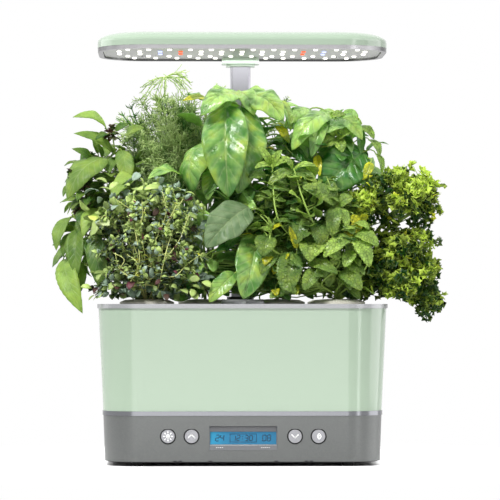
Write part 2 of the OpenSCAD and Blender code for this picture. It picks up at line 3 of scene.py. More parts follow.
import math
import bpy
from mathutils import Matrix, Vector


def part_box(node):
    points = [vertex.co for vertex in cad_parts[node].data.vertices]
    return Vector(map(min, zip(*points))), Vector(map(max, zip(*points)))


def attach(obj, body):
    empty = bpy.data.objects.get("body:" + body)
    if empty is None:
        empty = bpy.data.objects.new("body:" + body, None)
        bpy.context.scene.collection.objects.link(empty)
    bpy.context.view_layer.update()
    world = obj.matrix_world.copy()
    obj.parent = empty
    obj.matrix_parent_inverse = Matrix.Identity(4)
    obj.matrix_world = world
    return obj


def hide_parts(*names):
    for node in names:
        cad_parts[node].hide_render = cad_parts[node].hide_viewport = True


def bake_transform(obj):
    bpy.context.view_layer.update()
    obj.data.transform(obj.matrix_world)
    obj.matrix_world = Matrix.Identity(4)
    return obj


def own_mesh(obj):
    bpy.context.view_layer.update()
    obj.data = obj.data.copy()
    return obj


bl_info = {
    "name": "Countertop Herb Garden",
    "version": (1, 0, 0),
    "blender": (4, 5, 0),
    "location": "3D View > Sidebar > Herb Garden",
    "description": "Grows the six herbs of a hydroponic garden and finishes its tank, base, mast and lamp",
    "category": "Add Mesh",
}

import bpy
import numpy as np
from bpy.props import FloatProperty, FloatVectorProperty, IntProperty, PointerProperty

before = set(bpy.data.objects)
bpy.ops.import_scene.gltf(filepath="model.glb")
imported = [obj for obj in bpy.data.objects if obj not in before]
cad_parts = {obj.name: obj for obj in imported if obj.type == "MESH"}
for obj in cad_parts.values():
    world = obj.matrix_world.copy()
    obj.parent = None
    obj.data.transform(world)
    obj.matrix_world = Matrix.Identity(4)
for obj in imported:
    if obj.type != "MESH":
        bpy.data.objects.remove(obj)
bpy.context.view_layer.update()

MM = 0.001
HERBS = ("thai_basil", "thyme", "dill", "basil", "parsley", "mint")
LUG_H = 4.4     # height of the lid's hinge lugs, which stand on the deck (mm)
DECK_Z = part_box("grow_deck")[1][2] / MM - LUG_H
PODS = {herb: [sum(c[i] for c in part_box(f"pod_collar_{n + 1}")) / 2 / MM for i in (0, 1)]
        for n, herb in enumerate(HERBS)}


# ---- colours and settings ----

def linear(colour):
    """Linear RGB of an sRGB hex colour."""
    parts = [int(colour[i:i + 2], 16) / 255 for i in (0, 2, 4)]
    return tuple(c / 12.92 if c <= 0.04045 else ((c + 0.055) / 1.055) ** 2.4 for c in parts)


def colour(name, description, value):
    """A colour setting whose default is a hex colour."""
    return FloatVectorProperty(name=name, description=description, default=linear(value), subtype="COLOR",
                               size=3, min=0, max=1)


def length(name, description, value):
    """A size setting in millimetres."""
    return FloatProperty(name=name, description=description, default=value, min=0.01, soft_max=50)


class BodyFinish(bpy.types.PropertyGroup):
    sage: colour("Sage", "Glossy plastic of the tank and the lamp", "AABEA8")
    silver: colour("Silver", "Satin metallic paint of the base", "696B6A")
    band: colour("Band", "Bright plated band under the tank", "7C7D81")
    rim: colour("Rim", "Painted rim round the growing deck", "9FA0A2")
    post: colour("Post", "Satin anodised mast", "9C9BA2")
    bezel: colour("Bezel", "Lip round the lamp's underside", "ABAAAC")
    cap: colour("Button", "Button cap", "98989C")
    screen: colour("Screen", "Lit liquid-crystal screen", "216B90")
    digits: colour("Digits", "Dark segments of the screen", "08243C")
    icon: colour("Icon", "Printed signs on the buttons", "F7F7F5")


# The light and dark colours of each herb are its young and old blades. Through each leaf's tone they also paint light
# and shade: leaves made to look lit take the light colour, and shaded ones take the dark.
class HerbFinish(bpy.types.PropertyGroup):
    basil_light: colour("Basil, light", "Young blade of sweet basil", "C2EC80")
    basil_dark: colour("Basil, dark", "Old blade of sweet basil", "2C7A26")
    thai_light: colour("Thai basil, light", "Young blade of Thai basil", "B4D468")
    thai_dark: colour("Thai basil, dark", "Old blade of Thai basil", "3C6A28")
    flower: colour("Thai basil flower", "Bracts of the flower heads", "7A3A4C")
    mint_light: colour("Mint, light", "Young blade of mint", "D2F27A")
    mint_dark: colour("Mint, dark", "Old blade of mint", "1E5C16")
    thyme_light: colour("Thyme, light", "Young leaf of thyme", "D8F090")
    thyme_waxy: colour("Thyme, waxy", "Leaf of thyme under its bluish wax", "BCD4BE")
    thyme_dark: colour("Thyme, dark", "Old leaf of thyme", "26441A")
    dill_light: colour("Dill, light", "Young thread of dill", "E4F8AC")
    dill_dark: colour("Dill, dark", "Old thread of dill", "347E22")
    parsley_light: colour("Parsley, light", "Sunlit frill of parsley", "E2FA66")
    parsley_dark: colour("Parsley, dark", "Inner frill of parsley", "12440C")
    yellow: colour("Yellow leaf", "Ageing blade", "F4F03A")
    stem: colour("Stem", "Soft green stem", "9DBB54")
    runner: colour("Runner", "Pale young runner", "DCE48C")
    wood: colour("Woody stem", "Old stem", "6D5A3A")


class HerbSizes(bpy.types.PropertyGroup):
    blade: length("Blade", "Thickness of a broad leaf (mm)", 0.4)
    stalk: length("Stalk", "Radius of a broad leaf's stalk (mm)", 0.55)
    stem: length("Stem", "Radius of a herb's main stem (mm)", 1.5)
    thread: length("Thread", "Radius of a dill thread (mm)", 0.42)
    thyme_leaf: length("Thyme leaf", "Length of a thyme leaf (mm)", 5.2)
    frill: length("Frill", "Length of a parsley leaflet (mm)", 5.2)
    thyme_stems: IntProperty(name="Thyme stems", description="Number of thyme stems", default=124, min=10, max=200)
    dill_fronds: IntProperty(name="Dill fronds", description="Number of dill fronds in the thicket", default=70,
                             min=5, max=90)
    parsley_sprigs: IntProperty(name="Parsley sprigs", description="Number of parsley sprigs", default=150,
                                min=10, max=300)
    seed: IntProperty(name="Seed", description="Start of the random draws", default=7, min=0)


class GardenSettings(bpy.types.PropertyGroup):
    body: PointerProperty(name="Body", description="Finishes of the tank, base, mast and lamp", type=BodyFinish)
    herbs: PointerProperty(name="Herbs", description="Colours of the herbs", type=HerbFinish)
    sizes: PointerProperty(name="Sizes", description="Sizes and numbers of the herbs' parts", type=HerbSizes)


# ---- materials ----

# Patterns of one size, as the number of them in a metre
CLOUDS = 110.0      # light and dark clouds on a blade, 9 mm wide
PATCHES = 80.0      # yellow and deep green patches of a mottled blade, 12.5 mm wide
STREAKS = 70.0      # young and old parts of a stem, 14 mm long
FLAKES = 2000.0     # flakes of metallic paint, 0.5 mm wide
FROST = 2500.0      # grains of a frosted lens, 0.4 mm wide

VEIN_GREEN = (0.62, 0.78, 0.34, 1)      # a vein, paler than its blade


def add_node(tree, kind, inputs=None, **settings):
    """Adds a node: inputs gives each socket's value, or the output that feeds it."""
    node = tree.nodes.new(kind)
    for name, value in settings.items():
        setattr(node, name, value)
    for name, value in (inputs or {}).items():
        if isinstance(value, bpy.types.NodeSocket):
            tree.links.new(value, node.inputs[name])
        else:
            node.inputs[name].default_value = value
    return node


def rgba(value):
    """The colour as a socket takes it, with a full alpha."""
    return (*value, 1.0)


def new_surface(name, base, **sockets):
    """A material with one Principled shader. Returns it, its tree and its shader."""
    material = bpy.data.materials.new(name)
    material.use_nodes = True
    shader = material.node_tree.nodes["Principled BSDF"]
    shader.inputs["Base Color"].default_value = rgba(base)
    for socket, value in sockets.items():
        shader.inputs[socket.replace("_", " ")].default_value = value
    return material, material.node_tree, shader


def mixed(tree, share, first, second):
    """The socket of a colour that goes from first to second as share goes from 0 to 1."""
    return add_node(tree, "ShaderNodeMix", {0: share, 6: first, 7: second}, data_type="RGBA").outputs[2]


def computed(tree, operation, *numbers, clamp=False):
    """The socket of an operation on numbers, each of them a value or an output."""
    return add_node(tree, "ShaderNodeMath", dict(enumerate(numbers)), operation=operation, use_clamp=clamp).outputs[0]


def ranged(tree, value, start, end, low=0.0, high=1.0, **settings):
    """The socket of a number that goes from low to high as value goes from start to end, and no further."""
    ends = {"Value": value, "From Min": start, "From Max": end, "To Min": low, "To Max": high}
    return add_node(tree, "ShaderNodeMapRange", ends, **settings).outputs[0]


def here(tree):
    """The socket of the place on the object (m)."""
    return add_node(tree, "ShaderNodeTexCoord").outputs["Object"]


def noise(tree, place, scale, detail=2.0):
    """The socket of a cloudy pattern from 0 to 1."""
    return add_node(tree, "ShaderNodeTexNoise", {"Vector": place, "Scale": scale, "Detail": detail}).outputs["Fac"]


def cells(tree, place, scale, **settings):
    """The outputs of a pattern of cells."""
    return add_node(tree, "ShaderNodeTexVoronoi", {"Vector": place, "Scale": scale}, **settings).outputs


def tone_of(tree):
    """The socket of the tone that a mesh carries."""
    return add_node(tree, "ShaderNodeAttribute", attribute_name="tone").outputs["Fac"]


def emboss(tree, shader, height, strength, depth_mm):
    """Lets a pattern stand depth_mm high on the surface."""
    relief = add_node(tree, "ShaderNodeBump", {"Height": height, "Strength": strength, "Distance": depth_mm * MM})
    tree.links.new(relief.outputs[0], shader.inputs["Normal"])


def fading(tree, share, first, second):
    """Makes the surface go from the shader first to the shader second as share goes from 0 to 1."""
    both = add_node(tree, "ShaderNodeMixShader", {0: share, 1: first.outputs[0], 2: second.outputs[0]})
    tree.links.new(both.outputs[0], tree.nodes["Material Output"].inputs["Surface"])


def leaf_material(name, light, dark, veins=0, slope=1.4, pale=0.3, mottle=0.0, rough=0.42, thin=0.42, grain_mm=1.2,
                  bump=0.25, coat=0.0, quilt_mm=0.0):
    """Living leaf: a waxy skin over wet tissue, so it has a soft gloss, and light from behind shows through.
    The blade runs from dark to light by its own tone, with soft clouds, and its last tenth turns it yellow. Its veins,
    at even steps along it, wander a little, are paler by the share pale, and are sunk. Yellow and deep green patches
    come between them, as strong as mottle. A quilted blade swells in cells quilt_mm wide, with dark seams."""
    material, tree, shader = new_surface(name, light, Roughness=rough, IOR=1.42, Specular_IOR_Level=0.5,
                                         Coat_Weight=coat, Coat_Roughness=0.22)
    light, dark, yellow = rgba(light), rgba(dark), rgba(bpy.context.scene.herb_garden.herbs.yellow)
    place, tone = here(tree), tone_of(tree)
    cloud = noise(tree, place, CLOUDS, 3.0)
    share = computed(tree, "ADD", computed(tree, "MULTIPLY_ADD", cloud, 0.9, -0.45), tone, clamp=True)
    blade = mixed(tree, share, dark, light)
    blade = mixed(tree, ranged(tree, tone, 0.9, 1.0), blade, yellow)
    if mottle:
        patches = noise(tree, place, PATCHES, 1.5)
        blade = mixed(tree, ranged(tree, patches, 0.5, 0.74, high=mottle), blade, yellow)
        blade = mixed(tree, ranged(tree, patches, 0.49, 0.36, high=mottle * 1.9), blade, dark)
    height = noise(tree, place, 1 / (grain_mm * MM))
    if quilt_mm:
        edge = cells(tree, place, 1 / (quilt_mm * MM), feature="DISTANCE_TO_EDGE")["Distance"]
        seam = ranged(tree, edge, 0.0, 0.14, 0.5, 0.0)
        blade = mixed(tree, seam, blade, dark)
        height = computed(tree, "MULTIPLY_ADD", seam, -1.6, height)
    if veins:
        uv = add_node(tree, "ShaderNodeUVMap", uv_map="UVMap").outputs["UV"]
        uv = add_node(tree, "ShaderNodeSeparateXYZ", {0: uv}).outputs
        across = computed(tree, "ABSOLUTE", computed(tree, "MULTIPLY_ADD", uv["X"], 2.0, -1.0))
        along = computed(tree, "MULTIPLY_ADD", uv["Y"], float(veins), computed(tree, "MULTIPLY", cloud, 0.35))
        step = computed(tree, "MULTIPLY_ADD", computed(tree, "POWER", across, 0.8), -slope, along)
        side = ranged(tree, computed(tree, "PINGPONG", step, 0.5), 0.02, 0.15, 0.6, 0.0)
        middle = ranged(tree, across, 0.02, 0.07, 1.0, 0.0)
        vein = computed(tree, "MAXIMUM", side, middle)
        blade = mixed(tree, computed(tree, "MULTIPLY", vein, pale), blade, VEIN_GREEN)
        height = computed(tree, "MULTIPLY_ADD", vein, -1.5, height)
    emboss(tree, shader, height, bump, 0.6)
    tree.links.new(blade, shader.inputs["Base Color"])
    through = add_node(tree, "ShaderNodeBsdfTranslucent", {"Color": mixed(tree, 0.4, blade, light)})
    fading(tree, thin, shader, through)
    return material


def stem_material(name, soft, old):
    """Green stem: its colour goes from old, where the tone is 0, to soft, where it is 1, in cloudy streaks."""
    material, tree, shader = new_surface(name, soft, Roughness=0.45)
    share = computed(tree, "MULTIPLY_ADD", noise(tree, here(tree), STREAKS), 0.5, tone_of(tree), clamp=True)
    tree.links.new(mixed(tree, share, rgba(old), rgba(soft)), shader.inputs["Base Color"])
    return material


def worked(tree, shader, pattern, rough, spread, strength, depth_mm):
    """Lets a pattern show as its tool left it: it varies the roughness by the share spread both ways, and it stands
    depth_mm high."""
    shade = ranged(tree, pattern, 0.0, 1.0, rough * (1 - spread), rough * (1 + spread))
    tree.links.new(shade, shader.inputs["Roughness"])
    emboss(tree, shader, pattern, strength, depth_mm)


def moulded(name, base, rough, grain_mm, depth_mm, **sockets):
    """Moulded plastic: an even colour with the fine grain that its steel mould leaves."""
    material, tree, shader = new_surface(name, base, Roughness=rough, IOR=1.5, **sockets)
    worked(tree, shader, noise(tree, here(tree), 1 / (grain_mm * MM)), rough, 0.15, 0.3, depth_mm)
    return material


def flake_paint(name, base, rough):
    """Metallic paint: flakes of aluminium under a satin lacquer, so it glitters finely and shades softly.
    The flakes are drawn ten times their real size, to show at all."""
    material, tree, shader = new_surface(name, base, Roughness=rough, Metallic=0.55, Coat_Weight=0.25,
                                         Coat_Roughness=0.25)
    flakes = cells(tree, here(tree), FLAKES)
    bright = ranged(tree, flakes["Color"], 0.0, 1.0, 0.9, 1.12)
    tint = add_node(tree, "ShaderNodeVectorMath", {0: base, "Scale": bright}, operation="SCALE")
    tree.links.new(tint.outputs[0], shader.inputs["Base Color"])
    emboss(tree, shader, flakes["Distance"], 0.08, 0.05)
    return material


def drawn_metal(name, base, rough, lines_mm=0.4):
    """Drawn or turned metal: fine lines left along Z by the die, which spread its reflections sideways."""
    material, tree, shader = new_surface(name, base, Roughness=rough, Metallic=1.0)
    long_way = add_node(tree, "ShaderNodeMapping", {"Vector": here(tree), "Scale": (1.0, 1.0, 0.02)})
    worked(tree, shader, noise(tree, long_way.outputs[0], 1 / (lines_mm * MM)), rough, 0.3, 0.15, 0.02)
    return material


def lit(name, base, glow):
    """Light-emitting diode: an even glow behind a frosted lens, whose fine grain softens its gloss."""
    material, tree, shader = new_surface(name, base, Roughness=0.3, Emission_Strength=glow)
    shader.inputs["Emission Color"].default_value = rgba(base)
    shade = ranged(tree, noise(tree, here(tree), FROST), 0.0, 1.0, 0.2, 0.4)
    tree.links.new(shade, shader.inputs["Roughness"])
    return material


# ---- surfaces ----

def unit(v):
    """Vectors of the same directions and of length 1."""
    return v / (np.linalg.norm(v, axis=-1, keepdims=True) + 1e-12)


def flat_section(cols):
    """Places round a blade's edge: across from -1 to 1 on its upper side, then back on its lower side."""
    top = np.linspace(-1, 1, cols)
    return np.concatenate([top, top[::-1]]), np.concatenate([np.zeros(cols), np.ones(cols)])


def carry(paths, radii, sides=6, guide=None):
    """Round bars along paths (n, rows, 3): at each point of a path a ring of the given radius stands square to the
    path's direction, and starts from an axis that is square to the guide as well. The guide is given, or is the axis
    that the path as a whole runs along least. Radii are (n, rows)."""
    ahead = unit(np.gradient(paths, axis=1))
    if guide is None:
        guide = np.eye(3)[np.argmin(np.abs(ahead.mean(1)), axis=1)][:, None, :]
    side = unit(np.cross(ahead, guide))
    up = np.cross(ahead, side)
    turn = 2 * np.pi * np.arange(sides) / sides
    ring = side[:, :, None] * np.cos(turn)[:, None] + up[:, :, None] * np.sin(turn)[:, None]
    return paths[:, :, None] + ring * radii[:, :, None, None]


def smooth_path(points, rows):
    """A curve through points: between two of them each coordinate is the Catmull-Rom cubic of the four nearest."""
    p = np.asarray(points, float)
    p = np.vstack([2 * p[0] - p[1], p, 2 * p[-1] - p[-2]])
    t = np.linspace(0, len(p) - 3 - 1e-9, rows)
    i = t.astype(int)
    f = (t - i)[:, None]
    a, b, c, d = p[i], p[i + 1], p[i + 2], p[i + 3]
    return 0.5 * (2 * b + (c - a) * f + (2 * a - 5 * b + 4 * c - d) * f ** 2 + (3 * b - a - 3 * c + d) * f ** 3)


def bent(start, middle, end, rows):
    """Paths from start to end that are pulled towards the middle, as quadratic Beziers."""
    t = np.linspace(0, 1, rows)[None, :, None]
    return start[:, None] * (1 - t) ** 2 + 2 * middle[:, None] * t * (1 - t) + end[:, None] * t ** 2


def walked(path):
    """How far along a path each of its points lies."""
    return np.concatenate([[0], np.cumsum(np.linalg.norm(np.diff(path, axis=0), axis=1))])


def points_at(path, far, places):
    """Points of a path at places along it, where its own points lie far along."""
    return np.stack([np.interp(places, far, column) for column in path.T], -1)


def blades(leaves, form, rng, rows, cols, thick, veins=8, slope=1.4, pucker=0.0, teeth=0.0, wave=0.0):
    """Leaf blades, from rows of base, tip, width, face, bulge, fold and tone. A blade is thick millimetres thick and
    runs from its base to its tip along a chord that it bulges away from as a parabola. Its half width goes as form(v).
    Across it, the blade folds up as |u| to the power 1.6, its edge waves as a sine, teeth move every other edge point
    out, and it swells by pucker between the veins, which leave the midrib at even steps of v and climb by slope from
    midrib to edge."""
    base, tip, face, tone = leaves[:, 0:3], leaves[:, 3:6], leaves[:, 7:10], leaves[:, 12]
    chord = np.linalg.norm(tip - base, axis=1)
    ahead = (tip - base) / chord[:, None]
    side = unit(np.cross(ahead, face))
    up = np.cross(side, ahead)
    chord, width, bulge, fold = (size[:, None, None] for size in (chord, leaves[:, 6], leaves[:, 10], leaves[:, 11]))
    u, under = flat_section(cols)
    v = np.linspace(0, 1, rows)
    along = v[None, :, None]
    half = form(along) * width / 2
    edge = np.where(np.abs(u) > 0.999, 1 + teeth * (np.arange(rows) % 2 - 0.5)[None, :, None], 1.0)
    step = v[:, None] * veins - slope * np.abs(u)
    swell = np.abs(np.sin(np.pi * step)) ** 0.8 * (1 - np.abs(u) ** 4) - 1.3 * np.exp(-(u / 0.1) ** 2)
    swell = swell * np.sin(np.pi * v)[:, None] ** 0.5
    phase = rng.uniform(0, 2 * np.pi, (len(leaves), 1, 1))
    ripple = np.sin(phase + 2 * np.pi * 2.3 * along + 2 * (u > 0)) * np.abs(u) ** 2
    height = (bulge * chord * (4 * along * (1 - along))
              + fold * half * np.abs(u) ** 1.6
              + pucker * width * swell
              + wave * width * ripple * np.sin(np.pi * along)
              - thick * under)
    points = (base[:, None, None]
              + ahead[:, None, None] * (chord * along)[..., None]
              + side[:, None, None] * (half * u * edge)[..., None]
              + up[:, None, None] * height[..., None])
    return {"points": points, "u": (u + 1) / 2, "v": v, "tone": tone}


def frills(base, ahead, up, size, tone, rng, rows=3, cols=5, thick=0.35):
    """Curly leaflets. Each is a fan of 140 degrees: its rim is cut into three lobes by a cosine of the fan angle,
    and it is cupped by the square of the way out and ruffled by a sine of the fan angle that grows with it."""
    u, under = flat_section(cols)
    v = np.linspace(0.08, 1, rows)
    phase = rng.uniform(0, 2 * np.pi, (len(base), 1, 1))
    turn = u * math.radians(70)
    out = v[:, None] * (0.6 + 0.4 * np.abs(np.cos(2.56 * turn)))
    side = unit(np.cross(ahead, up))
    up = np.cross(side, ahead)
    ruffle = 0.16 * np.sin(phase + 5 * turn) * v[None, :, None] + 0.2 * v[None, :, None] ** 2
    size = size[:, None, None]
    points = (base[:, None, None]
              + ahead[:, None, None] * (size * out * np.cos(turn))[..., None]
              + side[:, None, None] * (size * out * np.sin(turn))[..., None]
              + up[:, None, None] * (size * ruffle - thick * under)[..., None])
    return {"points": points, "u": (u + 1) / 2, "v": v, "tone": tone}


def make_mesh(name, parts, materials):
    """Builds one mesh from parts, each a grid and the index of its material. A grid has points (n, rows, ring, 3) in
    millimetres, whose rings are joined into closed bars with a face at each end. It has a tone per bar or per ring, and
    where a pattern follows it the places u round the ring and v along the bar."""
    verts, loops, starts, tones, uvs, slots = [], [], [], [], [], []
    first, loop_at = 0, 0
    for grid, slot in parts:
        p = grid["points"]
        n, rows, ring, _ = p.shape
        index = first + np.arange(n * rows * ring).reshape(n, rows, ring)
        near, far = index[:, :-1], index[:, 1:]
        quads = np.stack([near, np.roll(near, -1, 2), np.roll(far, -1, 2), far], -1).reshape(-1, 4)
        ends = np.concatenate([index[:, 0, ::-1], index[:, -1, :]])
        starts += [loop_at + 4 * np.arange(len(quads)), loop_at + 4 * len(quads) + ring * np.arange(len(ends))]
        loops += [quads.ravel(), ends.ravel()]
        loop_at += quads.size + ends.size
        slots.append(np.full(len(quads) + len(ends), slot))
        tones.append(np.broadcast_to(np.reshape(grid["tone"], (n, -1, 1)), (n, rows, ring)).ravel())
        u = np.broadcast_to(grid.get("u", np.zeros(ring)), (n, rows, ring))
        v = np.broadcast_to(grid.get("v", np.zeros(rows))[:, None], (n, rows, ring))
        uvs.append(np.stack([u, v], -1).reshape(-1, 2))
        verts.append(p.reshape(-1, 3))
        first += n * rows * ring
    verts, loops, starts = np.concatenate(verts) * MM, np.concatenate(loops), np.concatenate(starts)
    mesh = bpy.data.meshes.new(name)
    mesh.vertices.add(len(verts))
    mesh.vertices.foreach_set("co", verts.astype(np.float32).ravel())
    mesh.loops.add(len(loops))
    mesh.loops.foreach_set("vertex_index", loops.astype(np.int32))
    mesh.polygons.add(len(starts))
    mesh.polygons.foreach_set("loop_start", starts.astype(np.int32))
    mesh.polygons.foreach_set("material_index", np.concatenate(slots).astype(np.int32))
    mesh.polygons.foreach_set("use_smooth", np.ones(len(starts), bool))
    mesh.attributes.new("tone", "FLOAT", "POINT").data.foreach_set("value", np.concatenate(tones).astype(np.float32))
    mesh.uv_layers.new(name="UVMap").data.foreach_set("uv", np.concatenate(uvs)[loops].astype(np.float32).ravel())
    for material in materials:
        mesh.materials.append(material)
    mesh.update(calc_edges=True)
    mesh.validate()
    made = bpy.data.objects.new(name, mesh)
    bpy.context.scene.collection.objects.link(made)
    return made


def herb_piece(name, parts, materials, stands_for=()):
    """A herb's piece: it rides on the deck."""
    made = make_mesh(name, parts, materials)
    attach(made, "deck")
    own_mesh(made)
    if stands_for:
        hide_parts(*stands_for)


# ---- outlines of blades ----

def outline(rise, fall):
    """Half width along a blade: v to the power rise times (1 - v) to the power fall, scaled to 1 at its widest."""
    peak = rise / (rise + fall)
    top = peak ** rise * (1 - peak) ** fall
    return lambda v: np.maximum(v ** rise * (1 - v) ** fall / top, 0.012)


BASIL_FORM = outline(0.5, 0.72)
THAI_FORM = outline(0.62, 0.9)
MINT_FORM = outline(0.48, 0.66)
THYME_FORM = outline(0.6, 0.55)


# ---- growing ----

# The room that leaves keep to (mm)
MAST_HALF, MAST_FRONT = 22, 40      # the mast's way, which they leave free: half its width, and its front
LAMP_FOOT = 370                     # they end below this height, under the lamp
WIDEST = 184                        # and no further than this from the middle
FRONT_TO_BACK = (-78, 74)
TANK_HALF, TANK_FOOT = 143, 110     # further out than the first they may hang beside the tank, down to the second
LID_ROOM = 1.5                      # between a stalk and the way of the filling lid


def stem_paths(stems, rows=36):
    """Paths of a herb's stems, each a smooth curve through its own points."""
    return np.stack([smooth_path(s, rows) for s in stems])


def along_each(paths, foot, tip):
    """For each point of each path, a value that goes evenly from foot to tip."""
    return np.linspace(foot, tip, paths.shape[1])[None].repeat(len(paths), 0)


def stem_bars(paths, foot_r, tip_r, sides=7):
    """Bars along stems that thin evenly from foot to tip, woody at the foot and young at the tip."""
    return {"points": carry(paths, along_each(paths, foot_r, tip_r), sides), "tone": along_each(paths, 0.1, 1.0)}


def stalk_paths(leaves, paths, rows=6):
    """Paths of leaf stalks: a quadratic Bezier from the nearest point of a stem to a little way inside the blade,
    where it arrives along the blade. A point of the stem above the blade's base counts as further away."""
    base, tip = leaves[:, 0:3], leaves[:, 3:6]
    on_stem = paths.reshape(-1, 3)
    far = np.linalg.norm(base[:, None] - on_stem[None], axis=2)
    far += 0.8 * np.maximum(on_stem[None, :, 2] - base[:, None, 2] + 2, 0)
    start = on_stem[np.argmin(far, axis=1)]
    ahead = unit(tip - base)
    middle = base - ahead * np.linalg.norm(base - start, axis=1, keepdims=True) * 0.5
    end = base + ahead * 0.06 * np.linalg.norm(tip - base, axis=1, keepdims=True)
    return bent(start, middle, end, rows)


def stalks(leaves, paths, radius, sides=5):
    """Bars along the leaf stalks, a little younger than their blades."""
    path = stalk_paths(leaves, paths)
    return {"points": carry(path, np.full(path.shape[:2], radius), sides), "tone": np.clip(leaves[:, 12] + 0.2, 0, 1)}


def clear_of_lid(leaves, paths):
    """Keeps the leaves whose stalk and blade leave room for the filling lid. It swings up about its pin from the front
    to a little past upright, so its way is the part of a cylinder round the pin that ends just behind the pin. Seven
    points stand for a blade, and it needs three tenths of its width more than its stalk does."""
    pin = sum(np.array(corner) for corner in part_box("lid_pin")) / 2 / MM
    low, high = (np.array(corner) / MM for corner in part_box("fill_lid"))
    t = np.linspace(0, 1, 7)[None, :, None]
    stalk, blade = stalk_paths(leaves, paths), leaves[:, None, 0:3] * (1 - t) + leaves[:, None, 3:6] * t
    x, y, z = np.moveaxis(np.concatenate([stalk, blade], 1), 2, 0)
    reach = pin[1] - low[1]
    away = np.maximum.reduce([np.abs(x) - high[0], np.hypot(y - pin[1], z - pin[2]) - reach,
                              y - pin[1] - 0.2 * reach])
    room = np.where(np.arange(x.shape[1]) < stalk.shape[1], LID_ROOM, LID_ROOM + 0.3 * leaves[:, 6:7])
    return leaves[(away > room).all(1)]


def leafy(paths, rng, first, step, size, lift, narrow, tone, y_range):
    """Rows of leaves in crossed pairs up each stem, step apart from the share first of its length upwards.
    Each leaf leans out from its stem, and one that would stand out of y_range, in the mast's way or in the lamp
    is left out."""
    rows = []
    for path in paths:
        far = walked(path)
        places = np.arange(first * far[-1], far[-1], step)
        for k, at in enumerate(points_at(path, far, places)):
            grown = 1 - 0.55 * (places[k] / far[-1]) ** 4
            turn = rng.uniform(0, 0.7) + (k % 2) * math.pi / 2
            for side in (0, math.pi):
                a = turn + side + rng.uniform(-0.3, 0.3)
                out = np.array([math.cos(a), math.sin(a), 0])
                climb = rng.uniform(*lift)
                ahead = out * math.cos(climb) + np.array([0, 0, math.sin(climb)])
                big = size * grown * rng.uniform(0.75, 1.15)
                base = at + ahead * big * 0.22
                tip = base + ahead * big
                face = np.array([0, 0, 1.0]) + 0.35 * out + rng.normal(0, 0.15, 3)
                inside = (y_range[0] < min(base[1], tip[1]) and max(base[1], tip[1]) < y_range[1]
                          and not (abs(tip[0]) < MAST_HALF and tip[1] > MAST_FRONT + 2)
                          and tip[2] < LAMP_FOOT + 2 and abs(tip[0]) < WIDEST - 4)
                if inside:
                    rows.append([*base, *tip, big * narrow * rng.uniform(0.9, 1.1), *face,
                                 rng.uniform(0.08, 0.2), rng.uniform(0.05, 0.3), rng.uniform(*tone)])
    return np.array(rows)


def with_room(leaves, y_range=FRONT_TO_BACK):
    """Keeps the leaves whose ends stay off the deck, the mast and the lamp, and not too low beside the tank."""
    ends = np.stack([leaves[:, 0:3], leaves[:, 3:6]])
    x, y, z = np.abs(ends[..., 0]), ends[..., 1], ends[..., 2]
    good = ((y > y_range[0]) & (y < y_range[1]) & ~((x < MAST_HALF) & (y > MAST_FRONT)) & (z < LAMP_FOOT)
            & (x < WIDEST) & ((z > DECK_Z + 3) | ((x > TANK_HALF) & (z > TANK_FOOT))))
    return leaves[good.all(0)]


def thicket(balls, rng, size, narrow, tone, hang=0.35, y_range=FRONT_TO_BACK):
    """Leaves spread through balls, each given as centre, radii and number. A leaf points away from the middle of
    its ball and hangs, it looks outwards and up, and it is darker the deeper it sits: painted shade of the inside of
    the foliage."""
    rows = []
    for centre, radii, n in balls:
        way = unit(rng.normal(0, 1, (n, 3)))
        deep = rng.uniform(0.1, 1, (n, 1)) ** 0.5
        at = np.array(centre) + way * np.array(radii) * deep
        ahead = unit(way * [1, 1, 0.7] + [0, 0, -hang] + rng.normal(0, 0.5, (n, 3)))
        long = size * rng.uniform(0.6, 1.2, (n, 1))
        face = unit(way + [0, -0.3, 0.8] + rng.normal(0, 0.3, (n, 3)))
        # Painted shade: leaves nearer the middle of their ball get darker tones
        light = tone[0] + (tone[1] - tone[0]) * deep ** 3 * rng.uniform(0.3, 1.25, (n, 1))
        rows.append(np.concatenate([at, at + ahead * long, long * narrow * rng.uniform(0.85, 1.1, (n, 1)), face,
                                    rng.uniform(0.06, 0.22, (n, 1)), rng.uniform(-0.05, 0.3, (n, 1)), light], 1))
    return with_room(np.concatenate(rows), y_range)


def placed(table):
    """Rows of listed leaves, whose faces are given as the turn and the tilt of a blade that looks to the front."""
    return np.array([[*r[:7], r[7], -1, r[8], *r[9:]] for r in table], float)
